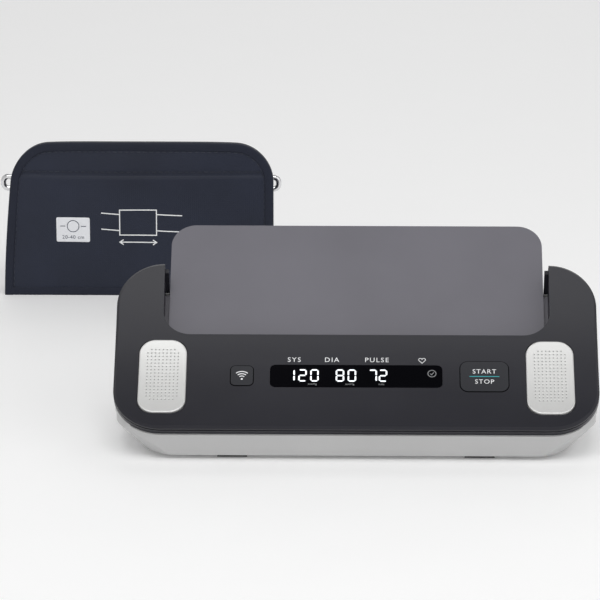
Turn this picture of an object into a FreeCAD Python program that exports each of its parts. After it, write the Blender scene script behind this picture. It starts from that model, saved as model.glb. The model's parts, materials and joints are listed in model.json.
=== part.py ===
import FreeCAD, Part

import math
import os
import re

import Sketcher

# Upper-arm blood pressure monitor with two thumb electrodes, a phone cradle and its folded cuff.
#
# World axes: X to the right, Y to the back, Z up, millimetres. While it is modelled, the monitor
# stands over x = 0 and the desk is z = 0; the last step moves the whole set so that the origin is
# on the desk under the middle of the set.
#
# Slab axes: the face leans back. Pieces that follow it are drawn in the slab's own axes: x to the
# right, y up the slope from the front edge, z out of the face. The face is a shallow hollow
# cylinder whose axis runs along x at (axis_along, axis_out) in those axes.

SIZES = {
    # Housing
    "face_chord": 92.5,            # front edge to ear top, straight
    "face_radius": 313.0,          # hollow of the face
    "slab_angle": 41.5,            # lean of the face, degrees
    "front_reach": 55.0,           # front edge of the face in front of the monitor's middle
    "front_height": 18.0,          # front edge of the face above the desk
    "front_corner": 23.0,
    "ear_corner": 22.0,
    "cover_wall": 2.2,
    "rim_depth": 5.5,              # height of the black rim
    "rim_round": 1.2,
    "groove_drop": 2.2,            # shadow groove below the face
    "groove_gap": 0.7,
    "groove_depth": 0.9,
    "parting_gap": 0.1,
    "base_wall": 2.4,
    "base_inset": 0.8,             # base stands back under the rim
    "foot_height": 2.0,
    "floor_flare": 12.2,           # the floor's edge rises outwards at 45 degrees
    "floor_front": 48.8,
    "floor_rear": 50.0,
    "floor_corner": 24.0,
    # Phone cradle
    "ear_width": 22.3,
    "notch_corner": 13.0,
    "lip_distance": 54.0,          # front edge of the face to the cradle's lip
    "notch_wall": 2.0,
    "cradle_depth": 15.0,
    "cradle_gap": 2.2,             # slot between an ear and the backrest
    "backrest_depth": 12.3,
    "backrest_corner": 12.0,
    "backrest_reach": 123.0,       # front edge of the face to the backrest's top
    "shell_wall": 2.2,
    "shell_seat": 0.3,
    "shell_flange": 2.2,
    "shell_lap": 11.0,             # the rear shell's sides reach this far into the tub
    "return_drop": 3.0,            # slot returns below the ear tops
    # Face fittings, set side by side from the window outwards to the rim
    "electrode_width": 22.5,
    "electrode_height": 41.8,
    "electrode_corner": 6.8,
    "electrode_margin": 11.65,     # electrode to the rim's side
    "electrode_along": 29.5,
    "electrode_proud": 0.8,
    "fitting_gap": 0.15,
    "flange_lip": 1.5,
    "flange_thick": 1.2,
    "row_along": 30.5,             # display and buttons share one row
    "window_width": 80.8,
    "window_height": 12.7,
    "window_corner": 2.5,
    "start_width": 22.5,
    "start_height": 17.0,
    "start_corner": 3.8,
    "start_gap": 8.4,              # start button to electrode
    "window_gap": 8.55,            # window to start button
    "radio_width": 10.4,
    "radio_height": 11.0,
    "radio_corner": 2.2,
    "radio_gap": 8.1,              # window to wireless button
    "button_gap": 0.25,
    "button_proud": 0.3,
    "button_travel": 0.8,
    "button_stem": 2.4,            # stem radius
    # Boards and display
    "board_margin": 7.8,           # board past the start button's middle
    "board_low": 5.0,
    "board_high": 48.0,
    "board_depth": 13.0,
    "board_thick": 1.6,
    "display_frame": 2.0,
    "display_recess": 0.6,
    "switch_side": 6.2,
    "switch_height": 3.0,
    "dome_height": 0.8,
    "dome_radius": 1.7,
    "chip_along": 12.0,
    "chip_length": 10.0,
    "radio_can_width": 14.0,
    "radio_can_height": 2.4,
    "processor_width": 12.0,
    "processor_height": 1.4,
    "buzzer_x": 34.0,
    "buzzer_along": 36.0,
    "buzzer_radius": 6.0,
    "buzzer_height": 4.5,
    "leaf_thick": 0.4,
    "leaf_width": 4.0,
    "leaf_foot": 6.0,
    "leaf_clear": 2.0,
    "leaf_along": 36.0,
    "board_boss": 2.6,
    "board_boss_inset": 3.5,
    "board_boss_low": 8.6,
    "board_boss_high": 45.0,
    "screw_shank": 1.25,
    "screw_head": 2.4,
    "screw_head_thick": 1.5,
    "screw_clearance": 0.05,
    "screw_reach": 7.0,            # thread in a boss
    "screw_spare": 1.0,            # pilot hole past the screw's end
    # Batteries
    "cell_radius": 7.25,
    "cell_length": 50.5,
    "cell_nub": 1.3,
    "cell_nub_radius": 2.75,
    "cell_gap": 0.5,
    "cell_count": 4,
    "tray_wall": 1.6,
    "tray_front": 14.0,
    "spring_space": 2.6,
    "plate_thick": 0.4,
    "plate_side": 10.6,
    "tray_clearance": 0.3,
    "hatch_thick": 2.2,
    "hatch_tongue": 1.4,
    "hatch_tongue_thick": 1.0,
    "hatch_rise": 16.0,            # height of the hatch's rear wall
    "ridge_low": 8.0,              # lowest finger groove above the hatch's floor
    "ridge_pitch": 2.4,
    "ridge_width": 1.0,
    "slide_gap": 0.2,
    # Air system
    "pump_gap": 4.5,               # power socket to pump head
    "pump_z": 24.0,
    "motor_radius": 10.0,
    "motor_length": 26.0,
    "motor_end": 44.0,
    "motor_cap": 1.5,
    "head_side": 24.0,
    "head_length": 20.0,
    "head_wall": 3.0,
    "shaft_radius": 1.0,
    "shaft_clearance": 0.06,
    "crank_radius": 4.6,
    "crank_throw": 1.0,
    "crank_clear": 2.0,
    "saddle_thick": 14.0,
    "saddle_inset": 2.0,
    "valve_x": -62.0,
    "line_y": 15.0,                # the valve stands in line with the cuff's socket
    "valve_width": 20.0,
    "valve_length": 18.0,
    "valve_height": 12.0,
    "valve_seat": 4.0,
    "plunger_reach": 2.0,
    "plunger_radius": 2.5,
    "plunger_stroke": 0.8,
    "plunger_clearance": 0.08,
    "hose_radius": 2.4,
    "nipple_radius": 1.5,
    "nipple_length": 5.0,
    "line_z": 24.0,                # the cuff's socket, manifold and pump share one level
    "hose_bow": 5.0,               # the long hose bows this far to the front
    "hose_sweep": 30.0,
    "hose_bend": 9.0,
    "hose_grip": 4.0,              # length of hose on a nipple
    "manifold_side": 11.0,
    "sensor_x": -35.0,
    "sensor_along": 34.0,
    "sensor_side": 10.0,
    "sensor_height": 6.0,
    "jack_collar": 8.0,
    "jack_radius": 5.0,
    "jack_bore": 2.4,
    "jack_bore_depth": 14.0,
    "jack_length": 18.0,
    "power_gap": 4.6,              # battery tray to power socket
    "power_z": 14.0,
    "power_side": 11.0,
    "power_length": 14.0,
    "power_nose": 4.2,
    "power_bore": 2.75,
    "power_bore_depth": 9.5,
    "power_fit": 0.2,
    "power_leg": 6.0,
    # Posts, feet and side electrodes
    "front_post_y": -40.0,
    "rear_post_y": 38.0,
    "post_radius": 4.2,
    "post_gap": 1.8,               # pump motor to rear post
    "front_post_top": 14.0,
    "front_post_reach": 12.0,      # the cover's posts end above the face's front edge
    "rear_post_top": 20.0,
    "foot_x": 58.0,
    "foot_front": -38.0,
    "foot_rear": 41.0,
    "foot_length": 14.0,
    "foot_width": 9.0,
    "foot_sink": 0.8,
    "side_pad_y": -10.0,
    "side_pad_length": 28.0,
    "side_pad_low": 15.0,
    "side_pad_high": 29.0,
    "side_pad_corner": 5.0,
    "side_pad_proud": 0.6,
    # Cuff
    "cuff_x": -118.7,
    "cuff_front": 255.0,
    "cuff_width": 146.4,
    "cuff_height": 86.2,
    "cuff_corner": 22.0,
    "cuff_foot_corner": 1.5,
    "flap_thick": 3.4,
    "flap_gap": 0.5,
    "fold_depth": 21.0,
    "fold_height": 80.0,
    "fold_inset": 2.0,
    "fold_slot": 7.0,
    "fold_wall": 6.0,
    "fold_flat": 1.0,              # half of the flat between the fold's round edges
    "slot_flat": 0.2,
    "bladder_thick": 5.6,
    "bladder_gap": 0.5,
    "bladder_share": 0.85,         # of the cuff's width
    "binding_width": 6.0,
    "binding_thick": 0.9,
    "binding_hem": 1.0,            # strip along the lower fold
    "patch_width": 76.0,
    "patch_height": 46.0,
    "patch_thick": 1.2,
    "patch_low": 4.0,
    "patch_corner": 6.0,
    "ring_wire": 1.6,
    "ring_reach": 4.0,             # ring stands out past the cuff's sides
    "ring_height": 9.6,
    "ring_pivot": 59.7,            # upper bar above the desk
    "ring_bend": 2.2,
    "ring_gap": 0.3,
    "tunnel_wall": 1.4,
    "tunnel_half": 60.0,
    "gland_x": 50.0,               # from the cuff's middle
    "gland_z": 24.0,
    "gland_radius": 8.0,
    "gland_thick": 2.0,
    "nozzle_radius": 3.2,
    "nozzle_bore": 2.0,
    "nozzle_length": 16.0,
    "nozzle_bore_depth": 12.0,
}

LAYOUT = {
    "start_spread": "window_width / 2 + window_gap + start_width / 2",
    "radio_spread": "window_width / 2 + radio_gap + radio_width / 2",
    "electrode_spread": "start_spread + start_width / 2 + start_gap + electrode_width / 2",
    "half_rim": "electrode_spread + electrode_width / 2 + electrode_margin",
    "half_base": "half_rim - base_inset",
    "far": "4 * half_rim",         # reach of the tools that cut right through
    "board_half": "start_spread + board_margin",
    "board_boss_spread": "board_half - board_boss_inset",
    "front_post_x": "electrode_spread - electrode_width / 2 - flange_lip - fitting_gap - post_radius",
    "axis_along": "face_chord / 2",
    "axis_out": "sqrt(face_radius ^ 2 - (face_chord / 2) ^ 2)",
    "deck_depth": "face_radius + cover_wall - sqrt(face_radius ^ 2 - (face_chord / 2) ^ 2)",
    "lean_cos": "cos(slab_angle)",
    "lean_sin": "sin(slab_angle)",
    # The back's slope, from the ear tops down to the floor's rear edge.
    "slope_run": "floor_rear + front_reach - (face_chord - base_inset) * lean_cos",
    "slope_drop": "front_height + (face_chord - base_inset) * lean_sin - foot_height",
    "slope_length": "sqrt(slope_run ^ 2 + slope_drop ^ 2)",
    "half_notch": "half_rim - ear_width",
    "half_backrest": "half_notch - cradle_gap",
    "floor_top": "foot_height + base_wall",
    "cell_z": "foot_height + hatch_thick + tray_clearance + cell_radius",
    "cell_pitch": "2 * cell_radius + cell_gap",
    "half_bay": "cell_pitch * cell_count / 2 + tray_clearance",
    "tray_rear": "-tray_front + cell_length + spring_space + 2 * tray_wall",
    "tray_top": "foot_height + hatch_thick + 2 * tray_clearance + 2 * cell_radius + tray_wall",
    "half_hatch": "half_bay - tray_wall / 2",
    "power_x": "half_bay + tray_wall + power_gap + power_side / 2",
    "pump_x": "power_x + power_side / 2 + pump_gap + head_side / 2",
    "rear_post_x": "pump_x + motor_radius + post_gap + post_radius",
    "head_front": "motor_end - motor_length - head_length",
    "head_back": "motor_end - motor_length",
    "half_cuff": "cuff_width / 2",
    "fold_front": "cuff_front + flap_thick + flap_gap",
    "fold_back": "fold_front + fold_depth",
    "tunnel_radius": "ring_wire + ring_gap + tunnel_wall",
    "ring_y": "fold_back + tunnel_radius",
}

ROUND = 8     # flat sides of a small hidden round piece, such as a screw, a nipple or a boss

ALIAS = re.compile(r"[a-z][a-z0-9_]*")

doc = FreeCAD.newDocument("PressureMonitor")


def bound(formula):
    """Point every alias in a formula at the sheet that holds it."""
    def owner(match):
        word = match.group()
        if word in SIZES:
            return "Sizes." + word
        return "Layout." + word if word in LAYOUT else word
    return ALIAS.sub(owner, str(formula))


def fill_sheets():
    """Write the driving sizes and the values worked out from them."""
    sizes = doc.addObject("Spreadsheet::Sheet", "Sizes")
    for row, (alias, number) in enumerate(SIZES.items(), 1):
        sizes.set("A%d" % row, alias)
        sizes.set("B%d" % row, str(number))
        sizes.setAlias("B%d" % row, alias)
    layout = doc.addObject("Spreadsheet::Sheet", "Layout")
    for row, (alias, formula) in enumerate(LAYOUT.items(), 1):
        # Inside its own sheet a cell is named by its alias alone.
        layout.set("A%d" % row, alias)
        layout.set("B%d" % row, "=" + bound(formula).replace("Layout.", ""))
        layout.setAlias("B%d" % row, alias)
    doc.recompute()
    return sizes, layout


sizes, layout = fill_sheets()


# ---------------------------------------------------------------- sketch outlines

def constrain(sketch, rules):
    """Add constraints and bind each one that has a formula to the sheets."""
    first = sketch.addConstraint([rule for rule, _ in rules])[0]
    for index, (_, formula) in enumerate(rules):
        if formula is not None:
            sketch.setExpression("Constraints[%d]" % (first + index), bound(formula))


def at(geometry, point, across, up, guess):
    """The two rules that place one point of a sketch."""
    return [(Sketcher.Constraint("DistanceX", geometry, point, float(guess[0])), across),
            (Sketcher.Constraint("DistanceY", geometry, point, float(guess[1])), up)]


def polygon(*corners):
    """Closed outline through corners given as (across, up) formulas."""
    def draw(sketch):
        count = len(corners)
        turn = 2 * math.pi / count
        guess = [FreeCAD.Vector(9 * math.cos(k * turn), 9 * math.sin(k * turn), 0) for k in range(count)]
        lines = [sketch.addGeometry(Part.LineSegment(guess[k], guess[(k + 1) % count]))
                 for k in range(count)]
        rules = []
        for k in range(count):
            rules.append((Sketcher.Constraint("Coincident", lines[k], 2, lines[(k + 1) % count], 1), None))
            rules += at(lines[k], 1, corners[k][0], corners[k][1], guess[k])
        constrain(sketch, rules)
    return draw


def box(left, right, low, high):
    """Square-cornered rectangle."""
    return polygon((left, low), (right, low), (right, high), (left, high))


def box_about(across, up, width, height, grow="0"):
    """Square-cornered rectangle about a centre, grown all round."""
    return box("%s - %s / 2 - %s" % (across, width, grow), "%s + %s / 2 + %s" % (across, width, grow),
               "%s - %s / 2 - %s" % (up, height, grow), "%s + %s / 2 + %s" % (up, height, grow))


def faceted(across, up, radius, sides=ROUND):
    """Regular polygon with its corners on a circle."""
    turns = [360.0 * k / sides for k in range(sides)]
    return polygon(*[("%s + (%s) * cos(%g)" % (across, radius, turn),
                      "%s + (%s) * sin(%g)" % (up, radius, turn)) for turn in turns])


def circle(across, up, radius):
    """Full circle."""
    def draw(sketch):
        ring = sketch.addGeometry(Part.Circle(FreeCAD.Vector(1, 1, 0), FreeCAD.Vector(0, 0, 1), 5))
        constrain(sketch, at(ring, 3, across, up, (1, 1))
                  + [(Sketcher.Constraint("Radius", ring, 5.0), radius)])
    return draw


def rounded(left, right, low, high, near, far=None):
    """Rectangle with round corners: near is the radius of the low corners, far of the high ones."""
    far = near if far is None else far

    def draw(sketch):
        side, radius = 10.0, 2.0
        inner = side - radius
        ends = [(("%s + %s" % (left, near), low), (-inner, -side)),
                (("%s - %s" % (right, near), low), (inner, -side)),
                ((right, "%s + %s" % (low, near)), (side, -inner)),
                ((right, "%s - %s" % (high, far)), (side, inner)),
                (("%s - %s" % (right, far), high), (inner, side)),
                (("%s + %s" % (left, far), high), (-inner, side)),
                ((left, "%s - %s" % (high, far)), (-side, inner)),
                ((left, "%s + %s" % (low, near)), (-side, -inner))]
        centres = [(ends[1][0][0], (inner, -inner)), (ends[4][0][0], (inner, inner)),
                   (ends[5][0][0], (-inner, inner)), (ends[0][0][0], (-inner, -inner))]
        lines, arcs, rules = [], [], []
        for k in range(4):
            first, last = ends[2 * k][1], ends[2 * k + 1][1]
            lines.append(sketch.addGeometry(Part.LineSegment(FreeCAD.Vector(*first, 0),
                                                             FreeCAD.Vector(*last, 0))))
        for k, (_, middle) in enumerate(centres):
            ring = Part.Circle(FreeCAD.Vector(*middle, 0), FreeCAD.Vector(0, 0, 1), radius)
            start = (k - 1) * math.pi / 2
            arcs.append(sketch.addGeometry(Part.ArcOfCircle(ring, start, start + math.pi / 2)))
        for k in range(4):
            for point in (1, 2):
                (across, up), guess = ends[2 * k + point - 1]
                rules += at(lines[k], point, across, up, guess)
        for k, (across, middle) in enumerate(centres):
            rules.append((Sketcher.Constraint("Coincident", arcs[k], 1, lines[k], 2), None))
            rules.append((Sketcher.Constraint("Coincident", arcs[k], 2, lines[(k + 1) % 4], 1), None))
            rules.append((Sketcher.Constraint("DistanceX", arcs[k], 3, float(middle[0])), across))
        constrain(sketch, rules)
    return draw


def rounded_about(across, up, width, height, radius, grow="0"):
    """Round-cornered rectangle about a centre, grown all round."""
    return rounded("%s - %s / 2 - %s" % (across, width, grow), "%s + %s / 2 + %s" % (across, width, grow),
                   "%s - %s / 2 - %s" % (up, height, grow), "%s + %s / 2 + %s" % (up, height, grow),
                   "(%s + %s)" % (radius, grow))


# ---------------------------------------------------------------- features

def body(label):
    """A new PartDesign body."""
    piece = doc.addObject("PartDesign::Body", label)
    piece.Label = label
    return piece


def profile(piece, plane, station, outlines):
    """A sketch on one of the body's own planes, moved along that plane's normal."""
    sketch = piece.newObject("Sketcher::SketchObject", piece.Label + "_sketch")
    support = next(f for f in piece.Origin.OriginFeatures if f.Role == plane + "_Plane")
    sketch.AttachmentSupport = [(support, "")]
    sketch.MapMode = "FlatFace"
    sketch.setExpression("AttachmentOffset.Base.z", bound(station))
    for outline in outlines:
        outline(sketch)
    sketch.Visibility = False
    return sketch


def extrude(kind, piece, plane, low, high, outlines):
    """Pad or pocket between two stations along the plane's world axis."""
    # The XZ plane's normal points to -Y, so its sketch starts at the high station.
    station = "-(%s)" % high if plane == "XZ" else low
    sketch = profile(piece, plane, station, outlines)
    feature = piece.newObject("PartDesign::" + kind, piece.Label + "_" + kind.lower())
    feature.Profile = sketch
    feature.setExpression("Length", bound("(%s) - (%s)" % (high, low)))
    return feature


def pad(piece, plane, low, high, *outlines):
    """Add material."""
    return extrude("Pad", piece, plane, low, high, outlines)


def pocket(piece, plane, low, high, *outlines):
    """Take material away."""
    feature = extrude("Pocket", piece, plane, low, high, outlines)
    feature.Reversed = True
    return feature


def through(piece, plane, *outlines):
    """Take material away right through the piece."""
    return pocket(piece, plane, "-far", "far", *outlines)


def revolve(piece, plane, *outlines):
    """Turn an outline a full turn about the sketch's own horizontal axis."""
    sketch = profile(piece, plane, "0", outlines)
    feature = piece.newObject("PartDesign::Revolution", piece.Label + "_turn")
    feature.Profile = sketch
    feature.ReferenceAxis = (sketch, ["H_Axis"])
    feature.Angle = 360
    return feature


def round_edges(piece, radius, wanted, kind="Fillet"):
    """Round the edges of the body's last feature that the test picks."""
    doc.recompute()
    base = piece.Tip
    names = ["Edge%d" % (k + 1) for k, edge in enumerate(base.Shape.Edges) if wanted(edge)]
    feature = piece.newObject("PartDesign::" + kind, piece.Label + "_" + kind.lower())
    feature.Base = (base, names)
    feature.setExpression("Radius" if kind == "Fillet" else "Size", bound(radius))
    return feature


def on_surface(raised):
    """Test for edges with both ends on the face's cylinder, or on one raised above it."""
    reach = sizes.face_radius - raised

    def picked(edge):
        ends = (edge.valueAt(edge.FirstParameter), edge.valueAt(edge.LastParameter))
        gaps = [abs(math.hypot(p.y - layout.axis_along, p.z - layout.axis_out) - reach) for p in ends]
        return max(gaps) < 1e-3
    return picked


def combine(kind, label, pieces):
    """Fuse or intersect several objects."""
    result = doc.addObject("Part::Multi" + kind, label)
    result.Label = label
    result.Shapes = pieces
    return result


def cut(label, base, tool):
    """Cut one object out of another."""
    result = doc.addObject("Part::Cut", label)
    result.Label = label
    result.Base = base
    result.Tool = tool
    return result


def group(label, pieces):
    """Several separate solids under one name."""
    result = doc.addObject("Part::Compound", label)
    result.Label = label
    result.Links = pieces
    return result


def place(piece, across="0", along="0", up="0"):
    """Stand a piece somewhere by formulas."""
    for axis, formula in zip("xyz", (across, along, up)):
        piece.setExpression("Placement.Base." + axis, bound(formula))
    return piece


def face_circle(offset="0"):
    """The face's cylinder seen along x in slab axes, moved into the material by an offset."""
    return circle("axis_along", "axis_out", "face_radius + %s" % offset)


def above_face(piece, offset="0"):
    """Take away what lies above the face, or above a surface that follows it deeper down."""
    return through(piece, "YZ", face_circle(offset))


def below_face(piece, offset):
    """Take away what lies deeper than a surface that follows the face."""
    return through(piece, "YZ", box("-far", "far", "-far / 4", "2 * far"), face_circle(offset))


def slab_along(y, z):
    """Formula for the slab's y of a world point."""
    return "((%s) + front_reach) * lean_cos + ((%s) - front_height) * lean_sin" % (y, z)


def slab_out(y, z):
    """Formula for the slab's z of a world point."""
    return "((%s) - front_height) * lean_cos - ((%s) + front_reach) * lean_sin" % (z, y)


def slab_point(y, z):
    """A world point in the slab's side view."""
    return slab_along(y, z), slab_out(y, z)


# The face's own frame in the world: slab axes to world axes.
tilt = FreeCAD.Placement(FreeCAD.Vector(0, -sizes.front_reach, sizes.front_height),
                         FreeCAD.Rotation(FreeCAD.Vector(1, 0, 0), sizes.slab_angle))


def lean(piece):
    """Set a piece that was drawn in slab axes into the world."""
    piece.Placement = tilt
    return piece


def upright(piece):
    """Set a piece that was drawn in world axes into slab axes."""
    piece.Placement = tilt.inverse()
    return piece


# The tub's frame: its z runs up along the slope of the back.
slope = FreeCAD.Placement(FreeCAD.Vector(), FreeCAD.Rotation(
    FreeCAD.Vector(1, 0, 0), math.degrees(math.atan2(layout.slope_run, layout.slope_drop))))


def across_slope(along):
    """Formula for the tub's y of a point in the face's plane, by its distance from the front edge."""
    return ("(((%s) * lean_cos - front_reach) * slope_drop + (front_height + (%s) * lean_sin) * slope_run)"
            " / slope_length" % (along, along))


def carve(label, base, *tools):
    """Cut tools out of a piece one after another."""
    for tool in tools[:-1]:
        base = cut(label + "_step", base, tool)
    return cut(label, base, tools[-1])


# ---------------------------------------------------------------- housing

def rim_outline(inset="0"):
    """The cover's outline in slab axes, drawn in by an inset."""
    return rounded("-half_rim + %s" % inset, "half_rim - %s" % inset, inset, "face_chord - %s" % inset,
                   "(front_corner - %s)" % inset, "(ear_corner - %s)" % inset)


def notch_outline(grow="0", top="face_chord * 2"):
    """The cradle's notch; its high corners lie past the ears."""
    grow = "(%s)" % grow
    return rounded("-half_notch - %s" % grow, "half_notch + %s" % grow, "lip_distance - %s" % grow, top,
                   "(notch_corner + %s)" % grow, "1")


def back_point(depth, inside="0"):
    """Side view of a point in the plane of the tub's sloping back, at a depth under the slab's top."""
    foot_along, foot_out = slab_point("floor_rear", "foot_height")
    slope = "(face_chord - base_inset - (%s)) / (%s)" % (foot_along, foot_out)
    return "face_chord - base_inset + (%s) * %s - (%s)" % (depth, slope, inside), "-(%s)" % depth


def on_both_sides(spread, up, width, height, radius, grow="0"):
    """The same round-cornered rectangle left and right of the middle."""
    return [rounded_about("%s * %s" % (side, spread), up, width, height, radius, grow) for side in (-1, 1)]


def face_tool(label, offset):
    """Everything above a surface that follows the face, as a cutting tool."""
    tool = body(label)
    pad(tool, "YZ", "-far", "far", face_circle(offset))
    return tool


def make_top_cover():
    """Black moulded cover: hollow face, rim with a shadow groove, ears and the phone notch."""
    shell = body("cover_block")
    pad(shell, "XY", "-rim_depth * 3", "1", rim_outline())
    above_face(shell)
    below_face(shell, "rim_depth")
    round_edges(shell, "rim_round", on_surface(0), "Chamfer")

    cavity = body("cover_cavity")
    pad(cavity, "XY", "-rim_depth * 4", "1", rim_outline("cover_wall"))
    above_face(cavity, "cover_wall")

    walls = body("cover_notch_walls")
    pad(walls, "XY", "-cradle_depth", "0", notch_outline("notch_wall", "face_chord"))
    above_face(walls, "cover_wall / 2")
    through(walls, "YZ", polygon(back_point("0"), back_point("far"), ("far", "-far"), ("far", "0")))

    bosses = [body("cover_board_boss") for _ in range(4)]
    places = [(side, up) for side in (-1, 1) for up in ("board_boss_low", "board_boss_high")]
    for boss, (side, up) in zip(bosses, places):
        pad(boss, "XY", "-board_depth", "0", faceted("%s * board_boss_spread" % side, up, "board_boss"))
        above_face(boss, "cover_wall / 2")

    posts = [upright(body("cover_post")) for _ in range(2)]
    for post, side in zip(posts, (-1, 1)):
        pad(post, "XY", "front_post_top", "front_height + front_post_reach",
            faceted("%s * front_post_x" % side, "front_post_y", "post_radius"))
    trimmed = cut("cover_posts", group("cover_post_pair", posts),
                  face_tool("cover_skin_tool", "cover_wall / 2"))

    solid = combine("Fuse", "cover_solid", [cut("cover_hollow", shell, cavity), walls, *bosses, trimmed])

    notch = body("cover_notch")
    pad(notch, "XY", "-cradle_depth * 2", "5", notch_outline())

    groove = body("cover_groove")
    pad(groove, "XY", "-rim_depth * 4", "1", rim_outline("-1"), rim_outline("groove_depth"))
    above_face(groove, "groove_drop")
    below_face(groove, "groove_drop + groove_gap")

    holes = body("cover_holes")
    pad(holes, "XY", "-rim_depth * 2", "2",
        rounded_about("0", "row_along", "window_width", "window_height", "window_corner", "fitting_gap"),
        rounded_about("start_spread", "row_along", "start_width", "start_height", "start_corner",
                      "button_gap"),
        rounded_about("-radio_spread", "row_along", "radio_width", "radio_height", "radio_corner",
                      "button_gap"),
        *on_both_sides("electrode_spread", "electrode_along", "electrode_width", "electrode_height",
                       "electrode_corner", "fitting_gap"))

    pilots = body("cover_pilots")
    pad(pilots, "XY", "-board_depth - screw_spare", "-board_depth + screw_reach",
        *[faceted("%s * board_boss_spread" % side, up, "screw_shank + screw_clearance")
          for side, up in places])
    sockets = upright(body("cover_sockets"))
    pad(sockets, "XY", "front_post_top - screw_spare", "front_post_top + screw_reach",
        *[faceted("%s * front_post_x" % side, "front_post_y", "screw_shank + screw_clearance")
          for side in (-1, 1)])
    carved = carve("cover_carved", solid, notch, groove, holes, pilots, sockets)

    # Short returns in the plane of the tub's back close the end of the slot beside the backrest.
    returns = []
    for side in (-1, 1):
        closing = body("cover_return")
        ends = ["%s * (half_backrest + shell_seat)" % side, "%s * (half_notch + notch_wall / 2)" % side]
        low, high = ends if side > 0 else ends[::-1]
        pad(closing, "YZ", low, high,
            polygon(back_point("return_drop", "cover_wall"), back_point("return_drop"),
                    back_point("cradle_depth"), back_point("cradle_depth", "cover_wall")))
        returns.append(closing)
    return lean(combine("Fuse", "top_cover", [carved, *returns]))


def base_hull(label, inset, floor):
    """Tub's form: the rim's outline carried down along the back's slope, over a flared floor."""
    edge = "(base_inset + %s)" % inset
    walls = body(label + "_walls")
    pad(walls, "XY", "-far", "far",
        rounded("-half_rim + %s" % edge, "half_rim - %s" % edge, across_slope(edge),
                across_slope("face_chord - %s" % edge), "(front_corner - %s)" % edge,
                "(ear_corner - %s)" % edge))
    walls.Placement = slope

    block = body(label + "_block")
    pad(block, "XY", floor, "face_chord * 2",
        rounded("-half_base + %s" % inset, "half_base - %s" % inset,
                "-floor_front - floor_flare + %s" % inset, "floor_rear * 2",
                "(floor_corner + floor_flare - %s)" % inset))

    def lowest(edge):
        return edge.BoundBox.ZMax < block.Shape.BoundBox.ZMin + 1e-3
    round_edges(block, "floor_flare", lowest, "Chamfer")
    return combine("Common", label, [walls, block])


def make_base_shell():
    """Light grey tub under the rim: flared floor, walls, posts, hatch opening and sockets."""
    outer = base_hull("base_outer", "0", "foot_height")
    inner = base_hull("base_inner", "base_wall", "floor_top")

    posts = body("base_posts")
    pad(posts, "XY", "foot_height", "front_post_top",
        *[faceted("%s * front_post_x" % side, "front_post_y", "post_radius") for side in (-1, 1)])
    rear_posts = body("base_rear_posts")
    pad(rear_posts, "XY", "foot_height", "rear_post_top",
        *[faceted("%s * rear_post_x" % side, "rear_post_y", "post_radius") for side in (-1, 1)])
    collar = body("base_collar")
    pad(collar, "YZ", "-half_base", "-half_base + base_wall + jack_collar",
        faceted("line_y", "line_z", "jack_collar"))
    tub = combine("Fuse", "base_tub", [cut("base_walls", outer, inner), collar])

    parting = lean(face_tool("base_parting", "rim_depth + parting_gap"))
    cradle = lean(body("base_cradle_space"))
    pad(cradle, "XY", "-cradle_depth - parting_gap", "5", notch_outline("notch_wall + parting_gap"))
    rear = body("base_rear_space")
    pad(rear, "XZ", "0", "floor_rear * 2",
        box("-half_backrest - shell_seat", "half_backrest + shell_seat", "floor_top + slide_gap",
            "face_chord"))
    opened = carve("base_open_tub", tub, parting, cradle, rear)
    solid = combine("Fuse", "base_solid", [opened, posts, rear_posts])

    hatch = body("base_hatch_space")
    pad(hatch, "XY", "0", "floor_top + 2 * slide_gap",
        box("-half_hatch - slide_gap", "half_hatch + slide_gap", "-tray_front + tray_wall", "floor_rear * 2"))
    grooves = body("base_hatch_grooves")
    pad(grooves, "XY", "foot_height + hatch_thick - hatch_tongue_thick - slide_gap",
        "floor_top + 2 * slide_gap",
        box("-half_hatch - hatch_tongue - slide_gap", "half_hatch + hatch_tongue + slide_gap",
            "-tray_front + tray_wall", "floor_rear * 2"))
    posts_xy = [("%s * front_post_x" % side, "front_post_y") for side in (-1, 1)]
    posts_xy += [("%s * rear_post_x" % side, "rear_post_y") for side in (-1, 1)]
    wells = body("base_screw_wells")
    pad(wells, "XY", "0", "floor_top + screw_head_thick",
        *[faceted(x, y, "screw_head + 4 * screw_clearance") for x, y in posts_xy])
    bores = body("base_screw_bores")
    pad(bores, "XY", "0", "rear_post_top + screw_spare",
        *[faceted(x, y, "screw_shank + 4 * screw_clearance") for x, y in posts_xy])
    feet = body("base_foot_recesses")
    pad(feet, "XY", "0", "foot_height + foot_sink",
        *[box_about(x, y, "foot_length", "foot_width", "slide_gap") for x, y in foot_places()])
    side_pads = body("base_side_pad_holes")
    pad(side_pads, "YZ", "-far", "far", side_pad_outline("fitting_gap"))
    jack = body("base_jack_hole")
    pad(jack, "YZ", "-half_rim * 2", "0", circle("line_y", "line_z", "jack_radius + fitting_gap"))
    return carve("base_shell", solid, hatch, grooves, wells, bores, feet, side_pads, jack)


def side_pad_outline(grow="0"):
    """Outline of a finger electrode seen from the side."""
    return rounded("side_pad_y - side_pad_length / 2 - %s" % grow,
                   "side_pad_y + side_pad_length / 2 + %s" % grow,
                   "side_pad_low - %s" % grow, "side_pad_high + %s" % grow, "side_pad_corner")


def backrest_outline(inset="0", low="lip_distance + shell_seat"):
    """The backrest's outline in slab axes, drawn in by an inset."""
    return rounded("-half_backrest + %s" % inset, "half_backrest - %s" % inset, "%s + %s" % (low, inset),
                   "backrest_reach - %s" % inset, "(backrest_corner - %s)" % inset)


def behind_rear(inset="0"):
    """Side view of all that lies behind the rear wall's plane."""
    return polygon(slab_point("floor_rear - %s" % inset, "-far"), slab_point("floor_rear + far", "-far"),
                   slab_point("floor_rear + far", "far"), slab_point("floor_rear - %s" % inset, "far"))


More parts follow.
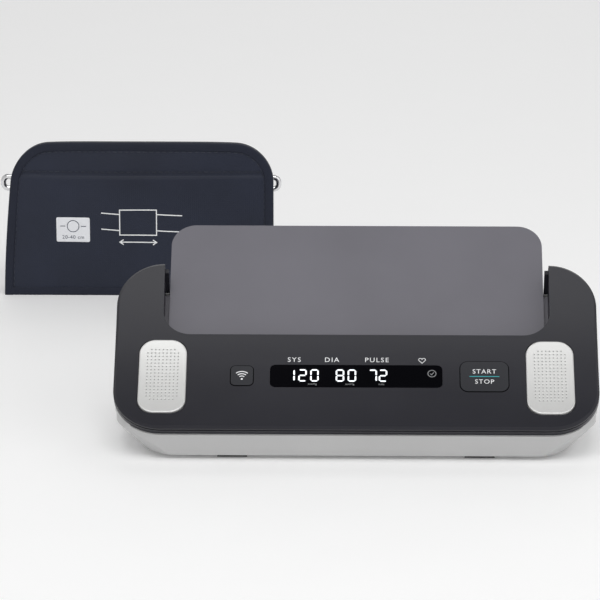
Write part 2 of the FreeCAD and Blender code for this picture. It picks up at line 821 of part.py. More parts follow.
def below_level(level):
    """Side view of all that lies below a level of the world."""
    return polygon(slab_point("-far", "-far"), slab_point("far", "-far"),
                   slab_point("far", level), slab_point("-far", level))


def make_rear_shell():
    """Mid grey shell: the phone's backrest in front, the rear wall behind, open below."""
    outer = body("rear_outer")
    pad(outer, "XY", "-backrest_reach", "-backrest_depth", backrest_outline())
    through(outer, "YZ", behind_rear())
    through(outer, "YZ", below_level("floor_top + slide_gap"))
    inner = body("rear_inner")
    pad(inner, "XY", "-backrest_reach * 2", "-backrest_depth - shell_wall", backrest_outline("shell_wall"))
    through(inner, "YZ", behind_rear("shell_wall"))
    walls = cut("rear_walls", outer, inner)

    # Inside the tub only a short skirt and the rear wall are left.
    inside = body("rear_inside")
    pad(inside, "YZ", "-half_rim", "half_rim",
        polygon(("0", "-cradle_depth - shell_flange - parting_gap"),
                ("face_chord - 4 * cover_wall", "-cradle_depth - shell_flange - parting_gap"),
                slab_point("floor_rear - shell_lap", "floor_top + shell_wall"),
                slab_point("floor_rear - shell_lap", "-far"), slab_point("-far", "-far")))
    skirt = cut("rear_skirt", walls, inside)

    flange = body("rear_flange")
    pad(flange, "XY", "-cradle_depth - shell_flange - parting_gap", "-cradle_depth - parting_gap",
        rounded("-half_notch - notch_wall", "half_notch + notch_wall", "lip_distance - notch_wall",
                "face_chord - 4 * cover_wall", "(notch_corner + notch_wall)", "1"),
        rounded("-half_backrest + shell_wall / 2", "half_backrest - shell_wall / 2",
                "lip_distance + shell_seat + shell_wall / 2", "face_chord - 5 * cover_wall",
                "backrest_corner", "1"))

    blocks = [upright(body("rear_block")) for _ in range(2)]
    for block, side in zip(blocks, (-1, 1)):
        pad(block, "XY", "rear_post_top", "rear_post_top + screw_reach + shell_wall",
            box("%s * rear_post_x - post_radius" % side, "%s * rear_post_x + post_radius" % side,
                "rear_post_y - post_radius", "floor_rear - shell_wall / 2"))
    solid = combine("Fuse", "rear_solid", [skirt, flange, *blocks])

    pilots = upright(body("rear_pilots"))
    pad(pilots, "XY", "rear_post_top - screw_spare", "rear_post_top + screw_reach",
        *[faceted("%s * rear_post_x" % side, "rear_post_y", "screw_shank + screw_clearance")
          for side in (-1, 1)])
    hatch = upright(body("rear_hatch_space"))
    pad(hatch, "XZ", "floor_rear - 3 * shell_wall", "floor_rear * 2",
        box("-half_hatch - hatch_tongue - slide_gap", "half_hatch + hatch_tongue + slide_gap", "0",
            "foot_height + hatch_rise + slide_gap"))
    socket = upright(body("rear_power_hole"))
    pad(socket, "XZ", "floor_rear - 3 * shell_wall", "floor_rear * 2",
        faceted("power_x", "power_z", "power_nose + power_fit", 2 * ROUND))
    return lean(carve("rear_shell", solid, pilots, hatch, socket))


# ---------------------------------------------------------------- face fittings

def make_window():
    """Smoked display window with the ledge it is glued on by."""
    window = lean(body("display_window"))
    pad(window, "XY", "-deck_depth - flange_thick", "1",
        rounded_about("0", "row_along", "window_width", "window_height", "window_corner"))
    above_face(window)
    pad(window, "XY", "-deck_depth - flange_thick", "-deck_depth - parting_gap",
        box_about("0", "row_along", "window_width", "window_height", "flange_lip"))
    return window


def make_button(label, spread, size):
    """Push button: cap, flange that stops it under the cover, stem over its switch."""
    button = lean(body(label))
    pad(button, "XY", "-deck_depth - flange_thick", "1",
        rounded_about(spread, "row_along", size + "_width", size + "_height", size + "_corner"))
    above_face(button, "-button_proud")
    pad(button, "XY", "-deck_depth - slide_gap - flange_thick", "-deck_depth - slide_gap",
        rounded_about(spread, "row_along", size + "_width", size + "_height", size + "_corner", "flange_lip"))
    pad(button, "XY", "-board_depth + switch_height + button_travel + slide_gap", "-deck_depth - slide_gap",
        faceted(spread, "row_along", "button_stem"))
    return button


def make_switch(label, spread):
    """Dome switch on the board under a button."""
    switch = lean(body(label))
    pad(switch, "XY", "-board_depth", "-board_depth + switch_height - dome_height",
        box_about(spread, "row_along", "switch_side", "switch_side"))
    pad(switch, "XY", "-board_depth", "-board_depth + switch_height",
        faceted(spread, "row_along", "dome_radius"))
    return switch


def make_thumb_electrode(label, side):
    """Thumb electrode: a pad that stands proud of the face, with a hidden flange."""
    plate = lean(body(label))
    centre = "%s * electrode_spread" % side
    pad(plate, "XY", "-deck_depth - flange_thick", "2 * electrode_proud",
        rounded_about(centre, "electrode_along", "electrode_width", "electrode_height", "electrode_corner"))
    above_face(plate, "-electrode_proud")
    round_edges(plate, "electrode_proud", on_surface(sizes.electrode_proud), "Chamfer")
    pad(plate, "XY", "-deck_depth - flange_thick", "-deck_depth - parting_gap",
        box_about(centre, "electrode_along", "electrode_width", "electrode_height", "flange_lip"))
    return plate


def make_side_electrode(label, side):
    """Finger electrode let into the tub's side wall, a little proud of it."""
    plate = body(label)
    inner, outer = "half_base - base_wall", "half_base + side_pad_proud"
    low, high = (inner, outer) if side > 0 else ("-(%s)" % outer, "-(%s)" % inner)
    pad(plate, "YZ", low, high, side_pad_outline())
    return plate


def make_contacts():
    """Two leaf springs that join the thumb electrodes to the board."""
    leaves = []
    for side in (-1, 1):
        leaf = lean(body("contact_leaf"))
        inner, outer = "board_half - leaf_foot", "electrode_spread - electrode_width / 2 + leaf_foot / 2"
        bend = "start_spread + start_width / 2 + flange_lip + leaf_clear"
        low, high = "-board_depth", "-deck_depth - flange_thick"
        points = [(inner, low), (bend, low), ("%s + leaf_clear / 2" % bend, "%s - leaf_thick" % high),
                  (outer, "%s - leaf_thick" % high), (outer, high), (bend, high),
                  ("%s - leaf_clear / 2" % bend, "%s + leaf_thick" % low), (inner, "%s + leaf_thick" % low)]
        pad(leaf, "XZ", "leaf_along - leaf_width / 2", "leaf_along + leaf_width / 2",
            polygon(*[("%s * (%s)" % (side, across), up) for across, up in points]))
        leaves.append(leaf)
    return group("electrode_contacts", leaves)


# ---------------------------------------------------------------- boards

def make_main_board():
    """Circuit board parallel to the slab, screwed to the cover's bosses."""
    board = lean(body("main_board"))
    pad(board, "XY", "-board_depth - board_thick", "-board_depth",
        box("-board_half", "board_half", "board_low", "board_high"),
        *[faceted("%s * board_boss_spread" % side, up, "screw_shank + 3 * screw_clearance")
          for side in (-1, 1) for up in ("board_boss_low", "board_boss_high")])
    return board


def make_display_module():
    """Segment display in its frame between the window and the board."""
    module = lean(body("display_module"))
    top = "-deck_depth - flange_thick - parting_gap"
    pad(module, "XY", "-board_depth", top,
        box_about("0", "row_along", "window_width", "window_height", "display_frame"))
    pocket(module, "XY", "%s - display_recess" % top, top,
           box_about("0", "row_along", "window_width", "window_height"))
    return module


def make_board_part(label, across, width, height):
    """A component soldered on top of the board near its front edge."""
    part = lean(body(label))
    pad(part, "XY", "-board_depth", "-board_depth + %s" % height,
        box_about(across, "chip_along", width, "chip_length"))
    return part


def make_components():
    """Radio can, processor, buzzer and pressure sensor."""
    under = "-board_depth - board_thick"
    radio = make_board_part("radio_module", "-radio_spread", "radio_can_width", "radio_can_height")
    processor = make_board_part("processor", "0", "processor_width", "processor_height")
    sensor = lean(body("pressure_sensor"))
    pad(sensor, "XY", "%s - sensor_height" % under, under,
        box_about("sensor_x", "sensor_along", "sensor_side", "sensor_side"))
    pad(sensor, "YZ", "sensor_x - sensor_side / 2 - nipple_length", "sensor_x - sensor_side / 2",
        faceted("sensor_along", "%s - sensor_height / 2" % under, "nipple_radius"))
    buzzer = lean(body("buzzer"))
    low = "%s - buzzer_height" % under
    pad(buzzer, "XY", low, under, faceted("buzzer_x", "buzzer_along", "buzzer_radius", 2 * ROUND))
    pocket(buzzer, "XY", low, "%s + buzzer_height / 4" % low,
           faceted("buzzer_x", "buzzer_along", "buzzer_radius / 5"))
    return [radio, processor, sensor, buzzer]


# ---------------------------------------------------------------- batteries

def make_battery_tray():
    """Tray over the hatch opening with a trough for each cell."""
    tray = body("battery_tray")
    front, rear = "-tray_front", "tray_rear"
    pad(tray, "XY", "floor_top", "tray_top",
        box("-half_bay - tray_wall", "half_bay + tray_wall", front, rear))
    pocket(tray, "XY", "floor_top", "cell_z",
           box("-half_bay", "half_bay", "%s + tray_wall" % front, "%s - tray_wall" % rear))
    for k in range(cell_count()):
        pocket(tray, "XZ", "%s + tray_wall" % front, "%s - tray_wall" % rear,
               faceted(cell_across(k), "cell_z", "cell_radius + tray_clearance", 3 * ROUND))
    return tray


def cell_count():
    """How many cells lie side by side."""
    return int(sizes.cell_count)


def cell_across(index):
    """Formula for a cell's middle across the tray."""
    return "(%d - (cell_count - 1) / 2) * cell_pitch" % index


def make_cells():
    """Round cells, laid alternately head to tail."""
    cells = []
    start = "tray_wall + spring_space / 2 - tray_front"
    end = start + " + cell_length"
    for k in range(cell_count()):
        cell = body("cell")
        nub_first = k % 2 == 0
        low, high = (start + " + cell_nub", end) if nub_first else (start, end + " - cell_nub")
        pad(cell, "XZ", low, high, faceted(cell_across(k), "cell_z", "cell_radius", 3 * ROUND))
        pad(cell, "XZ", start, end, faceted(cell_across(k), "cell_z", "cell_nub_radius"))
        cells.append(cell)
    return group("battery_cells", cells)


def make_cell_contacts():
    """Contact plates at both ends of the cells, each with a dished spring face."""
    plates = []
    for k in range(cell_count()):
        for station, inward in (("-tray_front + tray_wall", 1), ("tray_rear - tray_wall", -1)):
            plate = body("cell_contact")
            sheet_side = "%s + %d * plate_thick" % (station, inward)
            dish_side = "%s + %d * (spring_space / 2 - plate_thick / 2)" % (station, inward)
            low, high = (station, sheet_side) if inward > 0 else (sheet_side, station)
            pad(plate, "XZ", low, high, box_about(cell_across(k), "cell_z", "plate_side", "plate_side"))
            low, high = (station, dish_side) if inward > 0 else (dish_side, station)
            pad(plate, "XZ", low, high, faceted(cell_across(k), "cell_z", "cell_nub_radius"))
            plates.append(plate)
    return group("cell_contacts", plates)


def make_battery_hatch():
    """Battery hatch: floor plate with a tongue along each side and a rear wall with a finger ridge."""
    hatch = body("battery_hatch")
    rear = "floor_rear"
    front = "-tray_front + tray_wall + slide_gap"
    top = "foot_height + hatch_thick"
    pad(hatch, "XY", "foot_height", top, box("-half_hatch", "half_hatch", front, rear))
    pad(hatch, "XY", "%s - hatch_tongue_thick" % top, top,
        box("-half_hatch - hatch_tongue", "half_hatch + hatch_tongue", front, rear))
    pad(hatch, "XZ", "%s - shell_wall" % rear, rear,
        box("-half_hatch - hatch_tongue", "half_hatch + hatch_tongue", "%s - hatch_tongue_thick" % top,
            "foot_height + hatch_rise"))
    grooves = ["foot_height + ridge_low + %d * ridge_pitch" % k for k in range(3)]
    pocket(hatch, "XZ", "%s - shell_wall / 3" % rear, rear,
           *[box("-half_hatch / 2", "half_hatch / 2", low, "%s + ridge_width" % low) for low in grooves])
    return hatch


# ---------------------------------------------------------------- air system

def make_pump():
    """Motor, pump head with its crank chamber, shaft with crank, and rubber saddle."""
    motor = body("pump_motor")
    pad(motor, "XZ", "head_back", "motor_end", faceted("pump_x", "pump_z", "motor_radius", 3 * ROUND),
        circle("pump_x", "pump_z", "shaft_radius + shaft_clearance"))
    pad(motor, "XZ", "motor_end", "motor_end + motor_cap", faceted("pump_x", "pump_z", "motor_radius / 3"))
    head = body("pump_head")
    pad(head, "XZ", "head_front", "head_back", box_about("pump_x", "pump_z", "head_side", "head_side"))
    pocket(head, "XZ", "head_front + head_wall", "head_back - head_wall",
           box_about("pump_x", "pump_z", "head_side", "head_side", "(-head_wall)"))
    pocket(head, "XZ", "head_back - head_wall", "head_back",
           circle("pump_x", "pump_z", "shaft_radius + shaft_clearance"))
    pad(head, "YZ", "pump_x - head_side / 2 - nipple_length", "pump_x - head_side / 2",
        faceted("head_front + head_length / 2", "line_z", "nipple_radius"))
    shaft = body("pump_shaft")
    pad(shaft, "XZ", "head_front + head_wall + crank_clear", "motor_end - shaft_radius",
        circle("pump_x", "pump_z", "shaft_radius"))
    pad(shaft, "XZ", "head_front + head_wall + crank_clear", "head_back - head_wall - crank_clear",
        faceted("pump_x", "pump_z - crank_throw", "crank_radius", 2 * ROUND))
    saddle = body("pump_saddle")
    front, back = "motor_end - saddle_inset - saddle_thick", "motor_end - saddle_inset"
    pad(saddle, "XZ", front, back,
        box("pump_x - motor_radius", "pump_x + motor_radius", "floor_top", "pump_z"))
    pocket(saddle, "XZ", front, back, circle("pump_x", "pump_z", "motor_radius + parting_gap"))
    return [motor, head, shaft, saddle]


def make_valve():
    """Exhaust valve: coil block with its plunger, nipple on top."""
    block = body("exhaust_valve")
    pad(block, "XY", "floor_top", "floor_top + valve_height",
        box_about("valve_x", "line_y", "valve_width", "valve_length"))
    middle = "floor_top + valve_height / 2"
    bore_end = "line_y - valve_length / 2 + valve_seat"
    pocket(block, "XZ", bore_end, "line_y + valve_length / 2",
           circle("valve_x", middle, "plunger_radius + plunger_clearance"))
    pad(block, "XY", "floor_top + valve_height", "floor_top + valve_height + nipple_length",
        faceted("valve_x", "line_y", "nipple_radius"))
    plunger = body("valve_plunger")
    pad(plunger, "XZ", "%s + plunger_stroke + slide_gap" % bore_end,
        "line_y + valve_length / 2 + plunger_reach", circle("valve_x", middle, "plunger_radius"))
    return [block, plunger]


def make_hose(label, points, bend):
    """Silicone hose along straight runs with round bends, from world points in millimetres."""
    corners = [FreeCAD.Vector(*point) for point in points]
    edges, start = [], corners[0]
    for before, corner, after in zip(corners, corners[1:], corners[2:]):
        come, leave = (corner - before).normalize(), (after - corner).normalize()
        half = come.getAngle(leave) / 2
        back = bend * math.tan(half)
        first, last = corner - come * back, corner + leave * back
        middle = corner + (leave - come).normalize() * (bend / math.cos(half) - bend)
        edges += [Part.LineSegment(start, first).toShape(), Part.Arc(first, middle, last).toShape()]
        start = last
    edges.append(Part.LineSegment(start, corners[-1]).toShape())
    path = Part.Wire(edges)
    print("%s: %.1f mm long, bends of %.0f mm" % (label, path.Length, bend))
    aim = (corners[1] - corners[0]).normalize()
    # The bore's flats stay clear of a nipple's corners, whichever way the two are turned.
    clear = (sizes.nipple_radius + sizes.screw_clearance) / math.cos(math.pi / ROUND)
    skin, bore = (path.makePipeShell([hose_ring(corners[0], aim, radius)], True, False)
                  for radius in (sizes.hose_radius, clear))
    hose = doc.addObject("Part::Feature", label)
    hose.Label = label
    hose.Shape = skin.cut(bore)
    return hose


def hose_ring(centre, aim, radius):
    """Few-sided ring across a hose's start."""
    side = aim.cross(FreeCAD.Vector(0, 0, 1)).normalize()
    up = side.cross(aim)
    turns = [2 * math.pi * k / ROUND for k in range(ROUND + 1)]
    return Part.makePolygon([centre + side * radius * math.cos(turn) + up * radius * math.sin(turn)
                             for turn in turns])


def make_hoses():
    """Air lines to the manifold from the pump, from the cuff's socket and from the pressure sensor."""
    hub_x, y, z = sizes.valve_x, sizes.line_y, sizes.line_z
    near = sizes.manifold_side / 2 + sizes.slide_gap
    nipple = sizes.nipple_length

    pump_tip = layout.pump_x - sizes.head_side / 2 - nipple
    pump_y = layout.head_front + sizes.head_length / 2
    # It bows to the front between a quarter and four fifths of its way.
    first, middle, last = (pump_tip - share * (pump_tip - hub_x) for share in (0.25, 0.55, 0.8))
    pump = make_hose("hose_pump", [(pump_tip + sizes.hose_grip, pump_y, z), (first, pump_y, z),
                                   (middle, pump_y - sizes.hose_bow, z), (last, y, z),
                                   (hub_x + near, y, z)], sizes.hose_sweep)

    jack_tip = sizes.jack_length + nipple - layout.half_base
    jack = make_hose("hose_jack", [(jack_tip - sizes.hose_grip, y, z), (hub_x - near, y, z)], sizes.hose_bend)

    deep = sizes.board_depth + sizes.board_thick + sizes.sensor_height / 2
    sensor_tip = sizes.sensor_x - sizes.sensor_side / 2 - nipple
    tip = tilt.multVec(FreeCAD.Vector(sensor_tip, sizes.sensor_along, -deep))
    sensor = make_hose("hose_sensor", [(tip.x + sizes.hose_grip, tip.y, tip.z), (hub_x, tip.y, tip.z),
                                       (hub_x, (tip.y + y) / 2, z), (hub_x, y - near, z)], sizes.hose_bend)
    return [pump, jack, sensor]


def make_manifold():
    """Junction block on the valve's nipple, with a nipple for each of the three hoses."""
    block = body("air_manifold")
    low = "floor_top + valve_height + slide_gap"
    pad(block, "XY", low, "line_z + manifold_side / 2",
        box_about("valve_x", "line_y", "manifold_side", "manifold_side"))
    pocket(block, "XY", low, "floor_top + valve_height + nipple_length + slide_gap",
           faceted("valve_x", "line_y", "nipple_radius + screw_clearance"))
    pad(block, "YZ", "valve_x - manifold_side / 2 - hose_grip", "valve_x + manifold_side / 2 + hose_grip",
        faceted("line_y", "line_z", "nipple_radius"))
    pad(block, "XZ", "line_y - manifold_side / 2 - hose_grip", "line_y",
        faceted("valve_x", "line_z", "nipple_radius"))
    return block


def make_air_jack():
    """Air socket in the left wall for the cuff's plug, with a hose nipple inside."""
    jack = body("air_jack")
    revolve(jack, "XZ",
            polygon(("0", "jack_bore"), ("0", "jack_radius"), ("jack_length", "jack_radius"),
                    ("jack_length", "nipple_radius"), ("jack_length + nipple_length", "nipple_radius"),
                    ("jack_length + nipple_length", "0"), ("jack_bore_depth", "0"),
                    ("jack_bore_depth", "jack_bore")))
    return place(jack, "-half_base", "line_y", "line_z")


def make_power_jack():
    """Adapter socket behind the rear wall; its nose fills the hole."""
    jack = body("power_jack")
    inner = "floor_rear - shell_wall - slide_gap"
    pad(jack, "XZ", "%s - power_length" % inner, inner,
        box_about("power_x", "power_z", "power_side", "power_side"))
    pad(jack, "XZ", inner, "floor_rear", faceted("power_x", "power_z", "power_nose", 2 * ROUND))
    pocket(jack, "XZ", "floor_rear - power_bore_depth", "floor_rear",
           circle("power_x", "power_z", "power_bore"))
    pad(jack, "XY", "floor_top", "power_z - power_side / 2",
        box("power_x - power_leg / 2", "power_x + power_leg / 2", "%s - power_length" % inner,
            "%s - power_length / 2" % inner))
    return jack


# ---------------------------------------------------------------- feet and screws

def foot_places():
    """Where the four feet stand."""
    return [("%s * foot_x" % side, along) for side in (-1, 1) for along in ("foot_front", "foot_rear")]


def make_feet():
    """Four rubber feet set into the floor."""
    feet = []
    for across, along in foot_places():
        foot = body("foot")
        pad(foot, "XY", "0", "foot_height + foot_sink", box_about(across, along, "foot_length", "foot_width"))
        feet.append(foot)
    return group("rubber_feet", feet)


def make_screw(label, length):
    """Screw pointing up from its head's underside at the origin."""
    screw = body(label)
    pad(screw, "XY", "-screw_head_thick", "0", faceted("0", "0", "screw_head"))
    pad(screw, "XY", "-screw_head_thick", length, faceted("0", "0", "screw_shank"))
    return screw


def make_housing_screws():
    """Four long screws up through the floor's posts into the cover and the rear shell."""
    screws = []
    seat = "floor_top + screw_head_thick"
    for side in (-1, 1):
        for x, y, top in (("front_post_x", "front_post_y", "front_post_top"),
                          ("rear_post_x", "rear_post_y", "rear_post_top")):
            screw = make_screw("housing_screw", "%s - (%s) + screw_reach - screw_spare" % (top, seat))
            screws.append(place(screw, "%s * %s" % (side, x), y, seat))
    return group("housing_screws", screws)


def make_board_screws():
    """Four short screws that hold the board to the cover's bosses, in slab axes."""
    screws = []
    for side in (-1, 1):
        for up in ("board_boss_low", "board_boss_high"):
            screw = make_screw("board_screw", "board_thick + screw_reach - screw_spare")
            screws.append(place(screw, "%s * board_boss_spread" % side, up, "-board_depth - board_thick"))
    return lean(group("board_screws", screws))


# ---------------------------------------------------------------- cuff

def panel_outline():
    """The front panel's outline: round upper corners, nearly square lower ones."""
    return rounded("cuff_x - half_cuff", "cuff_x + half_cuff", "0", "cuff_height",
                   "cuff_foot_corner", "cuff_corner")


def make_cuff_flap():
    """Front panel of the folded cuff."""
    flap = body("cuff_flap")
    pad(flap, "XZ", "cuff_front", "cuff_front + flap_thick", panel_outline())
    return flap


def make_cuff_binding():
    """Tape round the front panel, wide along its sides and top, a hem along its lower fold."""
    tape = body("cuff_binding")
    pad(tape, "XZ", "cuff_front - binding_thick", "cuff_front", panel_outline(),
        rounded("cuff_x - half_cuff + binding_width", "cuff_x + half_cuff - binding_width", "binding_hem",
                "cuff_height - binding_width", "binding_hem", "(cuff_corner - binding_width)"))
    return tape


def make_cuff_fold():
    """The rest of the strip behind the panel, folded to a flat loop with an open middle."""
    fold = body("cuff_fold")
    left, right = "cuff_x - half_cuff + fold_inset", "cuff_x + half_cuff - fold_inset"
    middle = "(fold_front + fold_back) / 2"
    pad(fold, "YZ", left, right,
        rounded("fold_front", "fold_back", "0", "fold_height", "(fold_depth / 2 - fold_flat)"),
        rounded("%s - fold_slot / 2" % middle, "%s + fold_slot / 2" % middle, "fold_wall",
                "fold_height - fold_wall", "(fold_slot / 2 - slot_flat)"))
    # Fabric tunnel round the ring's upper bar.
    pad(fold, "YZ", "cuff_x - tunnel_half", "cuff_x + tunnel_half",
        faceted("ring_y", "ring_pivot", "tunnel_radius", 2 * ROUND),
        circle("ring_y", "ring_pivot", "ring_wire + ring_gap"))
    pad(fold, "YZ", "cuff_x - tunnel_half", "cuff_x + tunnel_half",
        box("fold_back - fold_wall / 2", "fold_back + tunnel_wall", "ring_pivot - tunnel_radius / 2",
            "ring_pivot + tunnel_radius / 2"))
    return fold


def make_bladder():
    """Air bladder lying in the folded strip."""
    bladder = body("cuff_bladder")
    middle = "(fold_front + fold_back) / 2"
    pad(bladder, "YZ", "cuff_x - half_cuff * bladder_share", "cuff_x + half_cuff * bladder_share",
        rounded("%s - bladder_thick / 2" % middle, "%s + bladder_thick / 2" % middle,
                "fold_wall + bladder_gap", "fold_height - fold_wall - bladder_gap",
                "(bladder_thick / 2 - slot_flat)"))
    return bladder


def make_ring():
    """Wire ring that the strip's end runs through, a loop with bent corners that hangs by its upper bar."""
    ring = body("cuff_ring")
    wire = "(ring_wire - screw_clearance)"
    half = "(half_cuff + ring_reach - %s)" % wire
    low = "ring_wire + %s - ring_height" % wire
    corners = [("-%s + ring_bend" % half, "0"), ("%s - ring_bend" % half, "0"), (half, "-ring_bend"),
               (half, "%s + ring_bend" % low), ("%s - ring_bend" % half, low),
               ("-%s + ring_bend" % half, low), ("-%s" % half, "%s + ring_bend" % low),
               ("-%s" % half, "-ring_bend")]
    path = profile(ring, "XZ", "0", [polygon(*corners)])
    section = profile(ring, "YZ", "0", [faceted("0", "0", wire)])
    pipe = ring.newObject("PartDesign::AdditivePipe", "cuff_ring_wire")
    pipe.Profile = section
    pipe.Spine = path
    pipe.Transition = "Right corner"
    # The upper bar is round where it turns in the tunnel, and a little past it.
    pad(ring, "YZ", "-tunnel_half - ring_bend", "tunnel_half + ring_bend", circle("0", "0", "ring_wire"))
    return place(ring, "cuff_x", "ring_y", "ring_pivot")


def make_hook_patch():
    """Hook tape on the back of the folded strip."""
    patch = body("cuff_hook_patch")
    pad(patch, "XZ", "fold_back", "fold_back + patch_thick",
        rounded("cuff_x - patch_width / 2", "cuff_x + patch_width / 2", "patch_low",
                "patch_low + patch_height", "patch_corner"))
    return patch


def make_gland():
    """Hose gland on the back of the cuff; its nozzle takes the air tube."""
    gland = body("cuff_tube_gland")
    face = "fold_back"
    pad(gland, "XZ", face, "%s + gland_thick" % face,
        faceted("cuff_x + gland_x", "gland_z", "gland_radius", 2 * ROUND))
    nozzle_y = "%s + nozzle_radius" % face
    end = "cuff_x + gland_x + nozzle_length"
    pad(gland, "YZ", "cuff_x + gland_x", end, faceted(nozzle_y, "gland_z", "nozzle_radius", 2 * ROUND))
    pocket(gland, "YZ", "%s - nozzle_bore_depth" % end, end, circle(nozzle_y, "gland_z", "nozzle_bore"))
    return gland


# ---------------------------------------------------------------- assembly

def make_set():
    """Every sub-part of the set."""
    return [make_top_cover(), make_base_shell(), make_rear_shell(), make_window(), make_display_module(),
            make_button("start_button", "start_spread", "start"),
            make_button("radio_button", "-radio_spread", "radio"),
            make_switch("start_switch", "start_spread"), make_switch("radio_switch", "-radio_spread"),
            make_thumb_electrode("thumb_electrode_left", -1),
            make_thumb_electrode("thumb_electrode_right", 1),
            make_side_electrode("side_electrode_left", -1),
            make_side_electrode("side_electrode_right", 1),
            make_contacts(), make_main_board(), *make_components(), make_battery_tray(), make_cells(),
            make_cell_contacts(), make_battery_hatch(), *make_pump(), *make_valve(), make_manifold(),
            *make_hoses(), make_air_jack(), make_power_jack(), make_feet(), make_housing_screws(),
            make_board_screws(), make_cuff_flap(), make_cuff_binding(), make_cuff_fold(), make_bladder(),
            make_ring(), make_hook_patch(), make_gland()]


def move_to_origin(parts):
    """Shift the set so that the origin is on the desk under the middle of its box."""
    left = sizes.cuff_x - layout.half_cuff - sizes.ring_reach
    # The rim's bevel sets the front edge back.
    front = sizes.front_reach - sizes.rim_round * layout.lean_sin
    back = layout.ring_y + layout.tunnel_radius
    shift = FreeCAD.Vector(-(layout.half_rim + left) / 2, (front - back) / 2, 0)
    for part in parts:
        moved = FreeCAD.Placement(shift, FreeCAD.Rotation()).multiply(part.Placement)
        for axis in ("x", "y", "z"):
            part.setExpression("Placement.Base." + axis, None)
        part.Placement = moved
    return shift


def check(parts):
    """Stop if any object failed or any sub-part isn't a sound solid."""
    failed = [item.Name for item in doc.Objects if {"Invalid", "Error"} & set(item.State)]
    if failed:
        raise RuntimeError("failed objects: " + ", ".join(failed))
    for part in parts:
        if part.Shape.isNull() or not part.Shape.isValid() or not part.Shape.Solids:
            raise RuntimeError("bad shape: " + part.Label)


parts = make_set()
doc.recompute()
shift = move_to_origin(parts)
doc.recompute()
check(parts)
os.makedirs("parts", exist_ok=True)
for part in parts:
    part.Shape.exportStep("parts/%s.step" % part.Label)
print("%d sub-parts, origin moved by %.3f, %.3f" % (len(parts), -shift.x, -shift.y))
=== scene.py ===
"""Dresses a desktop blood pressure monitor and its folded upper-arm cuff."""
import json
import logging
import math
from dataclasses import dataclass, field
from enum import Enum
from typing import Callable, Sequence

import bpy
import numpy as np
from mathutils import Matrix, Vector

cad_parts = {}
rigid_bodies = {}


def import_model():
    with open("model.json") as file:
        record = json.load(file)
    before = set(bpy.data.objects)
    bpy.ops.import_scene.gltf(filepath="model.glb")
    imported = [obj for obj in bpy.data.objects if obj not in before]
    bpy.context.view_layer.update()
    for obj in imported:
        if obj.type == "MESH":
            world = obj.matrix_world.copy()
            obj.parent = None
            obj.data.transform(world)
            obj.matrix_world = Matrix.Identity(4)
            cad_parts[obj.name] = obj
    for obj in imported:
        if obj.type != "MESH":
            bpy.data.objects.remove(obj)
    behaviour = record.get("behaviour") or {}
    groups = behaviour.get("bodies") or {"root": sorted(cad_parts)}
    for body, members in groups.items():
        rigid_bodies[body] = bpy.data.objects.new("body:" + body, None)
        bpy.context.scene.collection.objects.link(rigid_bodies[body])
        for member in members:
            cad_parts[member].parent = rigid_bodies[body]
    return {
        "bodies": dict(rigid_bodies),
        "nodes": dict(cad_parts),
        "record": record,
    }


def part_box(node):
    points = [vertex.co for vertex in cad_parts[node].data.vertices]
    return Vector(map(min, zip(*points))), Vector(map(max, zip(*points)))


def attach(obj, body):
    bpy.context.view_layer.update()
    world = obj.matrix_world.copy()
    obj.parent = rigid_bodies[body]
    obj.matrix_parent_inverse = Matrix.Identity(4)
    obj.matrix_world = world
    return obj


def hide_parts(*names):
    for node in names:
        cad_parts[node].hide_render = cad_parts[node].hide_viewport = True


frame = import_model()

# Only the CAD objects and their bodies stay from the start-up scene.
for leftover in {*bpy.data.objects} - {*frame["nodes"].values(), *frame["bodies"].values()}:
    bpy.data.objects.remove(leftover)
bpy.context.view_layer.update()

LOG = logging.getLogger("monitor")
MM = 0.001
ROOT = "monitor"

Outline = list[tuple[float, float]]
Placing = Callable[[np.ndarray], np.ndarray]


# ---------------------------------------------------------------- finishes

# The slow noise that moves tone and gloss.
SLOW_SCALE = 22.0
SLOW_DETAIL = 3.0
TONE_STOPS = (0.3, 0.7)
GLOSS_SWING = 0.05
LOWEST_ROUGHNESS = 0.02
SHEEN_ROUGHNESS = 0.4

# The fine relief. Blender's wave texture turns 20 radians in each unit of its scale.
BUMP_STRENGTH = 0.6
GRAIN_DETAIL = 2.0
BRUSH_STRETCH = 30.0
WEAVE_DISTORTION = 0.6
WAVE_RADIANS = 20.0


class Grain(Enum):
    """Kinds of surface relief."""

    MOULDED = "moulded"
    WOVEN = "woven"
    BRUSHED = "brushed"
    PLAIN = "plain"


